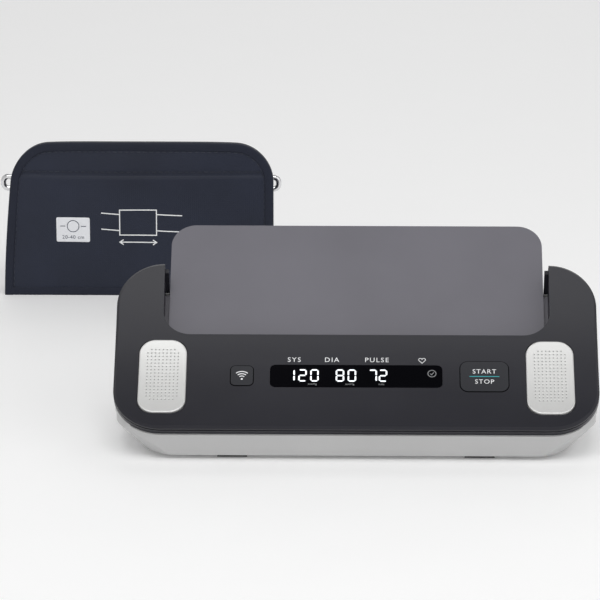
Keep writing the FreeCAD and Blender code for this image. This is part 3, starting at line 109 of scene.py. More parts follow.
@dataclass(frozen=True)
class Finish:
    """One material: colour, gloss and relief.

    Args:
        name: material name.
        colour: linear red, green and blue.
        roughness: middle roughness.
        metallic: share of bare metal, from 0 to 1.
        grain: kind of relief.
        pitch: size of the relief, in millimetres.
        relief: height of the relief, in millimetres.
        drift: how far the colour wanders, as a share.
        sheen: cloth sheen weight.
        specular: strength of the plain reflection.
        glow: emission strength.
    """

    name: str
    colour: tuple[float, float, float]
    roughness: float = 0.5
    metallic: float = 0.0
    grain: Grain = Grain.MOULDED
    pitch: float = 0.4
    relief: float = 0.01
    drift: float = 0.06
    sheen: float = 0.0
    specular: float = 0.5
    glow: float = 0.0

    def material(self) -> bpy.types.Material:
        """Build the material once and return it."""
        found = bpy.data.materials.get(self.name)
        return found or self._build()

    def _build(self) -> bpy.types.Material:
        """Make the material's nodes.

        Returns:
            The new material.
        """
        made = bpy.data.materials.new(self.name)
        made.use_nodes = True
        nodes, links = made.node_tree.nodes, made.node_tree.links
        shader = next(n for n in nodes if n.type == "BSDF_PRINCIPLED")
        shader.inputs["Metallic"].default_value = self.metallic
        shader.inputs["Sheen Weight"].default_value = self.sheen
        shader.inputs["Sheen Roughness"].default_value = SHEEN_ROUGHNESS
        shader.inputs["Specular IOR Level"].default_value = self.specular
        if self.glow:
            shader.inputs["Emission Color"].default_value = (*self.colour, 1)
            shader.inputs["Emission Strength"].default_value = self.glow

        where = nodes.new("ShaderNodeTexCoord").outputs["Object"]
        slow = nodes.new("ShaderNodeTexNoise")
        slow.inputs["Scale"].default_value = SLOW_SCALE
        slow.inputs["Detail"].default_value = SLOW_DETAIL
        links.new(where, slow.inputs["Vector"])
        tone = nodes.new("ShaderNodeValToRGB")
        for stop, share in zip(tone.color_ramp.elements, (1 - self.drift, 1 + self.drift)):
            stop.color = (*[min(1.0, c * share) for c in self.colour], 1)
        first, last = tone.color_ramp.elements
        first.position, last.position = TONE_STOPS
        links.new(slow.outputs["Fac"], tone.inputs["Fac"])
        links.new(tone.outputs["Color"], shader.inputs["Base Color"])

        gloss = nodes.new("ShaderNodeMapRange")
        gloss.inputs["To Min"].default_value = max(LOWEST_ROUGHNESS, self.roughness - GLOSS_SWING)
        gloss.inputs["To Max"].default_value = min(1.0, self.roughness + GLOSS_SWING)
        links.new(slow.outputs["Fac"], gloss.inputs["Value"])
        links.new(gloss.outputs["Result"], shader.inputs["Roughness"])

        height = self._height(nodes, links, where)
        if height is not None:
            bump = nodes.new("ShaderNodeBump")
            bump.inputs["Strength"].default_value = BUMP_STRENGTH
            bump.inputs["Distance"].default_value = self.relief * MM
            links.new(height, bump.inputs["Height"])
            links.new(bump.outputs["Normal"], shader.inputs["Normal"])
        return made

    def _height(self, nodes: bpy.types.Nodes, links: bpy.types.NodeLinks,
                where: bpy.types.NodeSocket) -> bpy.types.NodeSocket | None:
        """Make the relief's height.

        Args:
            nodes: the material's nodes.
            links: the material's links.
            where: object coordinates.

        Returns:
            The socket that carries the height, or None for a plain surface.
        """
        if self.grain is Grain.PLAIN:
            return None
        scale = 1 / (self.pitch * MM)
        if self.grain is Grain.WOVEN:
            threads = []
            for direction in ("X", "Z"):
                wave = nodes.new("ShaderNodeTexWave")
                wave.bands_direction = direction
                wave.inputs["Scale"].default_value = scale / WAVE_RADIANS * math.pi
                wave.inputs["Distortion"].default_value = WEAVE_DISTORTION
                links.new(where, wave.inputs["Vector"])
                threads.append(wave.outputs["Fac"])
            both = nodes.new("ShaderNodeMath")
            both.operation = "MULTIPLY"
            for socket, thread in zip(both.inputs, threads):
                links.new(thread, socket)
            return both.outputs["Value"]
        stretch = nodes.new("ShaderNodeMapping")
        upward = BRUSH_STRETCH if self.grain is Grain.BRUSHED else 1
        stretch.inputs["Scale"].default_value = (1, 1, upward)
        links.new(where, stretch.inputs["Vector"])
        noise = nodes.new("ShaderNodeTexNoise")
        noise.inputs["Scale"].default_value = scale
        noise.inputs["Detail"].default_value = GRAIN_DETAIL
        links.new(stretch.outputs["Vector"], noise.inputs["Vector"])
        return noise.outputs["Fac"]


FINISHES = {
    "cover": Finish("charcoal_moulding", (0.019, 0.019, 0.025), 0.34, pitch=0.35, relief=0.012,
                    specular=0.27),
    "base": Finish("pale_grey_moulding", (0.50, 0.50, 0.50), 0.46, pitch=0.4, relief=0.012, drift=0.02),
    "rear": Finish("grey_satin_moulding", (0.135, 0.131, 0.153), 0.42, pitch=0.3, relief=0.008),
    "window": Finish("smoked_window", (0.002, 0.002, 0.003), 0.12, grain=Grain.PLAIN, specular=0.06),
    "display": Finish("display_frame", (0.02, 0.02, 0.02)),
    "button": Finish("button_satin", (0.020, 0.021, 0.026), 0.40, pitch=0.3, relief=0.008, specular=0.3),
    "electrode": Finish("plated_electrode", (0.69, 0.69, 0.68), 0.32, metallic=0.35, pitch=0.3, relief=0.003,
                        drift=0.02),
    "spring_metal": Finish("spring_strip", (0.6, 0.56, 0.45), 0.3, metallic=1, grain=Grain.BRUSHED),
    "board": Finish("solder_mask", (0.01, 0.09, 0.04), 0.35, pitch=0.6),
    "shield_can": Finish("tinned_can", (0.6, 0.6, 0.6), 0.3, metallic=1, grain=Grain.BRUSHED),
    "component": Finish("moulded_component", (0.02, 0.02, 0.02), 0.55),
    "inner_plastic": Finish("natural_moulding", (0.6, 0.59, 0.55), 0.5),
    "cell": Finish("cell_sleeve", (0.05, 0.16, 0.32), 0.3, metallic=0.4),
    "motor_can": Finish("zinc_can", (0.55, 0.55, 0.57), 0.35, metallic=1, grain=Grain.BRUSHED),
    "steel": Finish("plain_steel", (0.45, 0.45, 0.46), 0.35, metallic=1, grain=Grain.BRUSHED),
    "rubber": Finish("soft_rubber", (0.03, 0.03, 0.032), 0.8, pitch=0.5, relief=0.02),
    "hose": Finish("silicone_hose", (0.6, 0.59, 0.56), 0.5),
    "socket": Finish("socket_moulding", (0.02, 0.02, 0.022), 0.4),
    "cuff_cloth": Finish("navy_nylon", (0.014, 0.018, 0.034), 0.55, grain=Grain.WOVEN, pitch=0.55,
                         relief=0.07, drift=0.16, sheen=0.08, specular=0.3),
    "cuff_tape": Finish("binding_tape", (0.010, 0.013, 0.026), 0.65, grain=Grain.WOVEN, pitch=0.8,
                        relief=0.09, drift=0.12, sheen=0.06, specular=0.3),
    "bladder": Finish("bladder_film", (0.04, 0.04, 0.045), 0.5),
    "ring_metal": Finish("bright_wire", (0.72, 0.72, 0.73), 0.18, metallic=1, grain=Grain.PLAIN),
    "hook_tape": Finish("hook_pile", (0.012, 0.013, 0.02), 0.95, pitch=0.9, relief=0.35, drift=0.2),
    "gland": Finish("gland_moulding", (0.03, 0.03, 0.034), 0.5),
}
WHITE_INK = Finish("white_ink", (0.82, 0.83, 0.84), 0.55, grain=Grain.PLAIN, drift=0.02)
TEAL_INK = Finish("teal_ink", (0.02, 0.33, 0.36), 0.5, grain=Grain.PLAIN, drift=0.02)
LIT = Finish("lit_segments", (0.93, 0.96, 1.0), 0.5, grain=Grain.PLAIN, drift=0.01, glow=0.7)
DIM = Finish("dim_segments", (0.30, 0.31, 0.32), 0.5, grain=Grain.PLAIN, drift=0.01)
# Painted shade: a darker grey disc at the bottom of each electrode dimple, where shade falls.
PIT_PAINTED_SHADE = Finish("pit_floor", (0.16, 0.16, 0.16), 0.6, grain=Grain.PLAIN, drift=0.02)
# Painted shade: a black band laid in the gaps round the buttons, where the face is only in shadow.
GAP_PAINTED_SHADE = Finish("gap_shade", (0.002, 0.002, 0.002), 0.9, grain=Grain.PLAIN, specular=0.0)
THREAD = Finish("navy_thread", (0.022, 0.026, 0.042), 0.7, grain=Grain.PLAIN, drift=0.1)
LABEL_CLOTH = Finish("label_cloth", (0.76, 0.77, 0.80), 0.8, grain=Grain.WOVEN, pitch=0.5, relief=0.04,
                     drift=0.03)
LABEL_INK = Finish("label_ink", (0.05, 0.06, 0.09), 0.7, grain=Grain.PLAIN, drift=0.02)
FLOOR = Finish("pale_floor", (0.93, 0.93, 0.93), 0.7, pitch=3, relief=0.01, drift=0.004, glow=0.1)


# ---------------------------------------------------------------- meshes

# Least cosine at a drawn line's bend, so that a sharp bend's mitre stays short.
MITRE_FLOOR = 0.5
# The lettering's curve: a capital's share of the size, its depth and the steps of each bend.
FONT_CAP = 0.69
FONT_DEPTH = 0.02
FONT_STEPS = 3
# Straight steps in a round corner, and the fewest cells along one side of a grid.
CORNER_STEPS = 8
FEWEST_CELLS = 4


@dataclass
class Solid:
    """Points and faces that are gathered before they become one piece."""

    points: list[tuple[float, float, float]] = field(default_factory=list)
    faces: list[tuple[int, ...]] = field(default_factory=list)

    def add(self, points: Sequence[Sequence[float]], faces: Sequence[Sequence[int]]) -> None:
        """Take in more points and faces.

        Args:
            points: points in local millimetres.
            faces: corners of each face, counted from the first new point.
        """
        first = len(self.points)
        self.points += [tuple(float(c) for c in p) for p in points]
        self.faces += [tuple(int(c) + first for c in f) for f in faces]

    def prism(self, outline: Outline, low: float, high: float) -> None:
        """Add a flat outline that stands from low to high.

        Args:
            outline: corners, anticlockwise.
            low: underside.
            high: top.
        """
        n = len(outline)
        points = [(x, y, low) for x, y in outline] + [(x, y, high) for x, y in outline]
        sides = [(k, (k + 1) % n, (k + 1) % n + n, k + n) for k in range(n)]
        self.add(points, [tuple(reversed(range(n))), tuple(range(n, 2 * n)), *sides])

    def stroke(self, line: Outline, width: float, low: float, high: float, closed: bool = False) -> None:
        """Add a drawn line of even width.

        Args:
            line: points along its middle.
            width: width of the line.
            low: underside.
            high: top.
            closed: whether the last point joins the first.
        """
        at = np.array(refined(line, closed), float)
        n = len(at)
        ahead = np.roll(at, -1, 0) - at
        behind = at - np.roll(at, 1, 0)
        if not closed:
            ahead[-1], behind[0] = behind[-1], ahead[0]
        ahead /= np.linalg.norm(ahead, axis=1)[:, None]
        behind /= np.linalg.norm(behind, axis=1)[:, None]
        middle = ahead + behind
        middle /= np.linalg.norm(middle, axis=1)[:, None]
        normal = np.stack([-middle[:, 1], middle[:, 0]], 1)
        mitre = np.maximum(MITRE_FLOOR, (normal * np.stack([-ahead[:, 1], ahead[:, 0]], 1)).sum(1))
        reach = normal * (width / 2 / mitre)[:, None]
        left, right = at + reach, at - reach
        points = [(*p, z) for z in (low, high) for side in (left, right) for p in side]
        faces = []
        for k in range(n if closed else n - 1):
            m = (k + 1) % n
            faces += [(2 * n + k, 3 * n + k, 3 * n + m, 2 * n + m), (k, m, n + m, n + k),
                      (k, 2 * n + k, 2 * n + m, m), (n + k, n + m, 3 * n + m, 3 * n + k)]
        if not closed:
            faces += [(0, n, 3 * n, 2 * n), (n - 1, 3 * n - 1, 4 * n - 1, 2 * n - 1)]
        self.add(points, faces)

    def letters(self, words: str, across: float, up: float, cap: float, low: float, high: float,
                spacing: float = 1.1) -> None:
        """Add plain lettering.

        Args:
            words: what it says.
            across: middle, across.
            up: middle, up.
            cap: height of a capital letter.
            low: underside.
            high: top.
            spacing: share of the usual letter spacing.
        """
        curve = bpy.data.curves.new("letters", "FONT")
        curve.body, curve.align_x, curve.space_character = words, "CENTER", spacing
        curve.extrude, curve.resolution_u = FONT_DEPTH, FONT_STEPS
        holder = bpy.data.objects.new("letters", curve)
        bpy.context.scene.collection.objects.link(holder)
        bpy.context.view_layer.update()
        flat = bpy.data.meshes.new_from_object(holder)
        scale = cap / FONT_CAP
        points = [(across + v.co.x * scale, up + v.co.y * scale - cap / 2, high if v.co.z > 0 else low)
                  for v in flat.vertices]
        self.add(points, [tuple(f.vertices) for f in flat.polygons])
        bpy.data.meshes.remove(flat)
        bpy.data.objects.remove(holder)
        bpy.data.curves.remove(curve)

    def sheet(self, front: np.ndarray, back: np.ndarray) -> None:
        """Add a closed form between two grids of points of the same size.

        Args:
            front: rows by columns by 3.
            back: the same for the other side.
        """
        rows, columns = front.shape[:2]
        count = rows * columns
        index = np.arange(count).reshape(rows, columns)
        quads = np.stack([index[:-1, :-1], index[:-1, 1:], index[1:, 1:], index[1:, :-1]], -1).reshape(-1, 4)
        edge = [*index[0, :-1], *index[:-1, -1], *index[-1, :0:-1], *index[:0:-1, 0]]
        wall = [(a, a + count, b + count, b) for a, b in zip(edge, edge[1:] + edge[:1])]
        points = np.concatenate([front.reshape(-1, 3), back.reshape(-1, 3)])
        self.add(points, [*quads, *(quads[:, ::-1] + count), *wall])

    def sweep(self, rings: np.ndarray, closed: bool) -> None:
        """Add a skin over rings of points.

        Args:
            rings: stations by points by 3.
            closed: whether the last ring joins the first; if not, both ends are capped.
        """
        stations, around = rings.shape[:2]
        faces = []
        for k in range(stations if closed else stations - 1):
            a, b = k * around, (k + 1) % stations * around
            faces += [(a + j, a + (j + 1) % around, b + (j + 1) % around, b + j) for j in range(around)]
        if not closed:
            last = (stations - 1) * around
            faces += [tuple(reversed(range(around))), tuple(range(last, last + around))]
        self.add(rings.reshape(-1, 3), faces)

    def piece(self, name: str, finish: Finish, body: str = ROOT, slot: str | None = None,
              place: Placing | None = None, smooth: float | None = None) -> bpy.types.Object:
        """Turn what was gathered into one piece that rides on a body.

        Args:
            name: the piece's name.
            finish: its material.
            body: the body that it rides on.
            slot: the record's material slot; not used.
            place: takes local millimetres to the set's own millimetres.
            smooth: angle in degrees under which edges are shaded smooth.

        Returns:
            The new object.
        """
        points = np.array(self.points, float)
        if place is not None:
            points = place(points)
        mesh = bpy.data.meshes.new(name)
        mesh.from_pydata((points * MM).tolist(), [], self.faces)
        mesh.validate()
        mesh.update()
        if smooth is not None:
            mesh.shade_smooth()
            mesh.set_sharp_from_angle(angle=math.radians(smooth))
        mesh.materials.append(finish.material())
        made = bpy.data.objects.new(name, mesh)
        bpy.context.scene.collection.objects.link(made)
        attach(made, body)
        LOG.info("%s: %d faces on %s", name, len(mesh.polygons), body)
        return made


def arc(across: float, up: float, radius: float, start: float, end: float, steps: int = 16) -> Outline:
    """Points along an arc.

    Args:
        across: centre, across.
        up: centre, up.
        radius: radius.
        start: first angle in degrees.
        end: last angle in degrees.
        steps: number of straight steps.

    Returns:
        The points, from start to end.
    """
    angles = np.radians(np.linspace(start, end, steps + 1))
    return [(across + radius * math.cos(a), up + radius * math.sin(a)) for a in angles]


def circle(across: float, up: float, radius: float, count: int = 24) -> Outline:
    """Points round a whole circle.

    Args:
        across: centre, across.
        up: centre, up.
        radius: radius.
        count: number of points.

    Returns:
        The points, anticlockwise from the right.
    """
    return arc(across, up, radius, 0, 360 - 360 / count, count - 1)


def turns(count: int) -> np.ndarray:
    """Even angles round a whole turn, in radians."""
    return np.linspace(0, 2 * math.pi, count + 1)[:-1]


def refined(line: Outline, closed: bool, step: float = 1.5) -> Outline:
    """Put more points on long runs, so that a line can follow a curved face.

    Args:
        line: points along the line.
        closed: whether the last point joins the first.
        step: longest run that stays whole.

    Returns:
        The same line with more points.
    """
    found = []
    ends = line[1:] + line[:1] if closed else line[1:]
    for (x0, y0), (x1, y1) in zip(line, ends):
        parts = max(1, math.ceil(math.hypot(x1 - x0, y1 - y0) / step))
        found += [(x0 + (x1 - x0) * k / parts, y0 + (y1 - y0) * k / parts) for k in range(parts)]
    return found if closed else [*found, line[-1]]


def spaced(corners: np.ndarray, step: float, start: float = 0.0) -> np.ndarray:
    """Points at even distances along a line.

    Args:
        corners: the line's own points, as rows.
        step: distance between the new points.
        start: distance that is left free at both ends.

    Returns:
        The new points, as rows.
    """
    travel = np.concatenate([[0], np.cumsum(np.hypot(*np.diff(corners, axis=0).T))])
    stations = np.arange(start, travel[-1] - start, step)
    return np.stack([np.interp(stations, travel, corners[:, k]) for k in (0, 1)], 1)


def directions(line: np.ndarray) -> np.ndarray:
    """Unit directions along an open line.

    Args:
        line: points, as rows.

    Returns:
        One direction for each point.
    """
    ahead = np.gradient(line, axis=0)
    return ahead / np.linalg.norm(ahead, axis=1)[:, None]


def outward_of(line: np.ndarray) -> np.ndarray:
    """Unit directions that point out of a closed line.

    Args:
        line: points, as rows, anticlockwise.

    Returns:
        One direction for each point.
    """
    ahead = np.roll(line, -1, 0) - np.roll(line, 1, 0)
    ahead /= np.linalg.norm(ahead, axis=1)[:, None]
    return np.stack([ahead[:, 1], -ahead[:, 0]], 1)


def rounded_line(across: float, up: float, width: float, height: float, radius: float) -> Outline:
    """A rectangle with round corners.

    Args:
        across: middle, across.
        up: middle, up.
        width: full width.
        height: full height.
        radius: radius of the corners.

    Returns:
        The points, anticlockwise.
    """
    x, y = width / 2 - radius, height / 2 - radius
    corners = ((x, -y, -90), (x, y, 0), (-x, y, 90), (-x, -y, 180))
    return [point for dx, dy, start in corners
            for point in arc(across + dx, up + dy, radius, start, start + 90, CORNER_STEPS)]


def rounded_grid(left: float, right: float, low: float, high: float, near: float, far: float,
                 step: float) -> tuple[np.ndarray, np.ndarray, np.ndarray]:
    """A grid that fills a round-cornered rectangle.

    Args:
        left: left edge.
        right: right edge.
        low: low edge.
        high: high edge.
        near: radius of the low corners.
        far: radius of the high corners.
        step: width of a grid cell.

    Returns:
        Points across, points up, and each point's distance from the outline.
    """
    columns, rows = (max(FEWEST_CELLS, round(span / step)) + 1 for span in (right - left, high - low))
    x, y = np.meshgrid(np.linspace(left, right, columns), np.linspace(low, high, rows))
    middle = (left + right) / 2
    upper = y > (low + high) / 2
    radius = np.where(upper, far, near)
    in_x = np.abs(x - middle) - ((right - left) / 2 - radius)
    in_y = np.where(upper, y - (high - far), (low + near) - y)
    corner = (in_x > 0) & (in_y > 0)
    length = np.hypot(in_x, in_y)
    shrink = np.where(corner, np.maximum(in_x, in_y) / np.where(length > 0, length, 1), 1.0)
    side, rise = np.sign(x - middle), np.where(upper, 1, -1)
    moved_x = np.where(corner, middle + side * ((right - left) / 2 - radius + in_x * shrink), x)
    base_y = np.where(upper, high - far, low + near)
    moved_y = np.where(corner, base_y + rise * in_y * shrink, y)
    flat = np.minimum(np.minimum(x - left, right - x), np.minimum(y - low, high - y))
    inside = np.where(corner, radius - np.maximum(in_x, in_y), flat)
    return moved_x, moved_y, np.maximum(inside, 0)


def round_over(inside: np.ndarray, radius: float) -> np.ndarray:
    """How far a rounded edge drops below its flat.

    Args:
        inside: distance from the outline.
        radius: radius of the rounding.

    Returns:
        The drop at each point.
    """
    reach = np.clip(radius - inside, 0, radius)
    return radius - np.sqrt(radius ** 2 - reach ** 2)


# ---------------------------------------------------------------- the monitor

@dataclass(frozen=True)
class FaceFrame:
    """The leaning hollow face: across, up the slope and proud, in millimetres."""

    middle: float = 40.95
    front: float = -171.15
    front_height: float = 18.0
    angle: float = 41.5
    chord: float = 92.5
    radius: float = 313.0

    def place(self, points: np.ndarray) -> np.ndarray:
        """Take points from the face to the set.

        Args:
            points: across, up and proud of the face.

        Returns:
            The same points in the set's millimetres.
        """
        c, s = math.cos(math.radians(self.angle)), math.sin(math.radians(self.angle))
        across, up, proud = points.T
        axis = math.sqrt(self.radius ** 2 - (self.chord / 2) ** 2)
        out = axis - np.sqrt(self.radius ** 2 - (up - self.chord / 2) ** 2) + proud
        return np.stack([self.middle + across, self.front + up * c - out * s,
                         self.front_height + up * s + out * c], 1)


@dataclass
class Electrodes:
    """Two thumb pads, each with a field of dimples that hold painted shade; sizes are in the face's
    millimetres.
    """

    face: FaceFrame
    width: float = 22.5
    height: float = 41.8
    corner: float = 7.8
    spread: float = 91.1
    up: float = 29.5
    proud: float = 0.8
    edge: float = 0.6
    buried: float = 3.0
    step: float = 0.14
    dimple: float = 0.42
    dimple_depth: float = 0.35
    # The painted shade in each dimple: the darker disc's radius, thickness and sides.
    pit: float = 0.3
    pit_floor: float = 0.12
    pit_sides: int = 12
    columns: int = 9
    rows: int = 16
    column_pitch: float = 1.8
    row_pitch: float = 1.9
    field_up: float = 30.6

    def build(self) -> None:
        """Make both pads."""
        for name, side in (("left", -1), ("right", 1)):
            self._pad("thumb_electrode_" + name, side * self.spread)

    def _dimples(self, centre: float) -> list[tuple[float, float]]:
        """Middles of the dimples; the field's four corners are left out.

        Args:
            centre: the pad's middle, across.

        Returns:
            Each dimple as across and up.
        """
        found = []
        for row in range(self.rows):
            for column in range(self.columns):
                if row in (0, self.rows - 1) and column in (0, self.columns - 1):
                    continue
                found.append((centre + (column - (self.columns - 1) / 2) * self.column_pitch,
                              self.field_up + (row - (self.rows - 1) / 2) * self.row_pitch))
        return found

    def _pad(self, node: str, centre: float) -> None:
        """Make one pad.

        Args:
            node: the CAD node that it stands for.
            centre: its middle, across.
        """
        x, y, inside = rounded_grid(centre - self.width / 2, centre + self.width / 2,
                                    self.up - self.height / 2, self.up + self.height / 2,
                                    self.corner, self.corner, self.step)
        z = self.proud - round_over(inside, self.edge)
        for across, up in self._dimples(centre):
            share = ((x - across) ** 2 + (y - up) ** 2) / self.dimple ** 2
            z -= self.dimple_depth * np.clip(1 - share, 0, 1)
        pad = Solid()
        pad.sheet(np.stack([x, y, z], -1), np.stack([x, y, np.full_like(z, -self.buried)], -1))
        made = pad.piece(node + "_pad", FINISHES["electrode"], slot="electrode", place=self.face.place,
                         smooth=40)
        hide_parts(node)
        # A darker grey disc laid at the bottom of each dimple is painted shade.
        pit_shading = Solid()
        low = self.proud - self.dimple_depth
        for across, up in self._dimples(centre):
            pit_shading.prism(circle(across, up, self.pit, self.pit_sides), low, low + self.pit_floor)
        pit_shading.piece(node + "_pits", PIT_PAINTED_SHADE, slot="electrode", place=self.face.place)


# Each bar of a figure, from end to end as shares of its width and height.
SEGMENTS = {"a": ((0, 1), (1, 1)), "b": ((1, 1), (1, 0.5)), "c": ((1, 0.5), (1, 0)), "d": ((0, 0), (1, 0)),
            "e": ((0, 0.5), (0, 0)), "f": ((0, 1), (0, 0.5)), "g": ((0, 0.5), (1, 0.5))}
DIGITS = {"0": "abcdef", "1": "bc", "2": "abged", "7": "abc", "8": "abcdefg"}
# The heart curve's waves: one across, and those of one to four turns upwards.
HEART_ACROSS = 16
HEART_UP = (13, -5, -2, -1)


@dataclass
class Readout:
    """Lit figures in the window and the printed words above it.

    Sizes are in the face's millimetres. A group is its figures and their places, its unit and place, and
    its word and place.
    """

    face: FaceFrame
    digit_width: float = 4.0
    digit_height: float = 7.0
    bar: float = 0.72
    bar_gap: float = 0.18
    digits_up: float = 30.9
    unit_up: float = 26.0
    unit_cap: float = 1.0
    label_up: float = 39.9
    label_cap: float = 2.5
    label_spacing: float = 1.25
    symbol_line: float = 0.3
    ring_at: tuple[float, float] = (35.6, 32.2)
    ring_radius: float = 1.9
    tick: tuple[tuple[float, float], ...] = ((-0.8, 0.0), (-0.2, -0.7), (0.9, 0.7))
    heart_at: tuple[float, float] = (31.0, 39.7)
    heart_scale: float = 0.1
    heart_points: int = 28
    low: float = 0.01
    high: float = 0.05
    groups: tuple[tuple[str, tuple[float, ...], str, float, str, float], ...] = (
        ("120", (-30.8, -25.2, -19.6), "mmHg", -20.6, "SYS", -29.2),
        ("80", (-7.6, -2.0), "mmHg", -3.0, "DIA", -11.5),
        ("72", (7.8, 12.6), "/min", 11.8, "PULSE", 9.7))

    def build(self) -> None:
        """Make the figures, the units, the words and the small symbols."""
        lit, dim, words = Solid(), Solid(), Solid()
        for figures, places, unit, unit_at, label, label_at in self.groups:
            for figure, across in zip(figures, places):
                self._digit(lit, figure, across)
            dim.letters(unit, unit_at, self.unit_up, self.unit_cap, self.low, self.high)
            words.letters(label, label_at, self.label_up, self.label_cap, self.low, self.high,
                          self.label_spacing)
        self._ring_with_tick(dim)
        self._heart(words)
        lit.piece("display_figures", LIT, slot="display", place=self.face.place)
        dim.piece("display_units", DIM, slot="display", place=self.face.place)
        words.piece("face_words", WHITE_INK, slot="cover", place=self.face.place)

    def _digit(self, lit: Solid, figure: str, across: float) -> None:
        """Add one seven-segment figure.

        Args:
            lit: what it is added to.
            figure: the figure.
            across: its middle.
        """
        half = self.bar / 2
        for name in DIGITS[figure]:
            ends = [np.array([across + (x - 0.5) * (self.digit_width - self.bar),
                              self.digits_up + (y - 0.5) * (self.digit_height - self.bar)])
                    for x, y in SEGMENTS[name]]
            along = (ends[1] - ends[0]) / np.linalg.norm(ends[1] - ends[0])
            first, last = ends[0] + along * self.bar_gap, ends[1] - along * self.bar_gap
            side = np.array([-along[1], along[0]]) * half
            shape = [first, first + along * half - side, last - along * half - side, last,
                     last - along * half + side, first + along * half + side]
            lit.prism([tuple(p) for p in shape], self.low, self.high)

    def _ring_with_tick(self, dim: Solid) -> None:
        """Add a small ring with a tick in it.

        Args:
            dim: what it is added to.
        """
        across, up = self.ring_at
        dim.stroke(circle(across, up, self.ring_radius), self.symbol_line, self.low, self.high, closed=True)
        dim.stroke([(across + dx, up + dy) for dx, dy in self.tick], self.symbol_line, self.low, self.high)

    def _heart(self, words: Solid) -> None:
        """Add a small heart outline.

        Args:
            words: what it is added to.
        """
        across, up = self.heart_at
        line = []
        for t in turns(self.heart_points):
            climb = sum(height * math.cos((k + 1) * t) for k, height in enumerate(HEART_UP))
            line.append((across + self.heart_scale * HEART_ACROSS * math.sin(t) ** 3,
                         up + self.heart_scale * climb))
        words.stroke(line, self.symbol_line, self.low, self.high, closed=True)


@dataclass
class ButtonMarks:
    """Printed marks that move with the two buttons, and painted shade in the gaps round them.

    Sizes are in the face's millimetres. A button's size is its width, height and corner radius.
    """

    face: FaceFrame
    proud: float = 0.3
    ink_low: float = 0.01
    ink_high: float = 0.04
    start_across: float = 60.2
    row_up: float = 30.5
    word_rise: float = 2.9
    word_cap: float = 2.4
    word_spacing: float = 1.15
    rule_length: float = 14.0
    rule_width: float = 0.45
    radio_across: float = -53.7
    dot: float = 0.5
    dot_drop: float = 2.0
    wave_radii: tuple[float, ...] = (1.7, 3.0, 4.3)
    wave_start: float = 50.0
    wave_end: float = 130.0
    wave_width: float = 0.5
    gap: float = 0.42
    shade_low: float = -0.2
    shade_high: float = 0.02
    start_size: tuple[float, float, float] = (22.5, 17.0, 3.8)
    radio_size: tuple[float, float, float] = (10.4, 11.0, 2.2)

    def build(self) -> None:
        """Make the words, the rule between them, the wireless arcs and the painted shade in the gaps."""
        # A flat black band round each button paints the shade that falls into its gap.
        gap_shading = Solid()
        for across, (width, height, radius) in ((self.start_across, self.start_size),
                                                (self.radio_across, self.radio_size)):
            edge = rounded_line(across, self.row_up, width + self.gap, height + self.gap,
                                radius + self.gap / 2)
            gap_shading.stroke(edge, self.gap, self.shade_low, self.shade_high, closed=True)
        gap_shading.piece("button_gaps", GAP_PAINTED_SHADE, slot="cover", place=self.face.place)
        low, high = self.proud + self.ink_low, self.proud + self.ink_high
        for name, rise in (("START", self.word_rise), ("STOP", -self.word_rise)):
            word = Solid()
            word.letters(name, self.start_across, self.row_up + rise, self.word_cap, low, high,
                         self.word_spacing)
            word.piece("start_button_" + name.lower(), WHITE_INK, "start_button", "button", self.face.place)
        rule = Solid()
        half = self.rule_length / 2
        rule.stroke([(self.start_across - half, self.row_up), (self.start_across + half, self.row_up)],
                    self.rule_width, low, high)
        rule.piece("start_button_rule", TEAL_INK, "start_button", "button", self.face.place)
        arcs = Solid()
        foot = self.row_up - self.dot_drop
        arcs.prism(circle(self.radio_across, foot, self.dot), low, high)
        for radius in self.wave_radii:
            wave = arc(self.radio_across, foot, radius, self.wave_start, self.wave_end)
            arcs.stroke(wave, self.wave_width, low, high)
        arcs.piece("radio_button_arcs", WHITE_INK, "radio_button", "button", self.face.place)


# ---------------------------------------------------------------- the cuff

# A stitch's girth at shares of its length, from end to end.
STITCH_GIRTHS = ((-0.5, 0.25), (-0.3, 0.9), (0.0, 1.0), (0.3, 0.9), (0.5, 0.25))


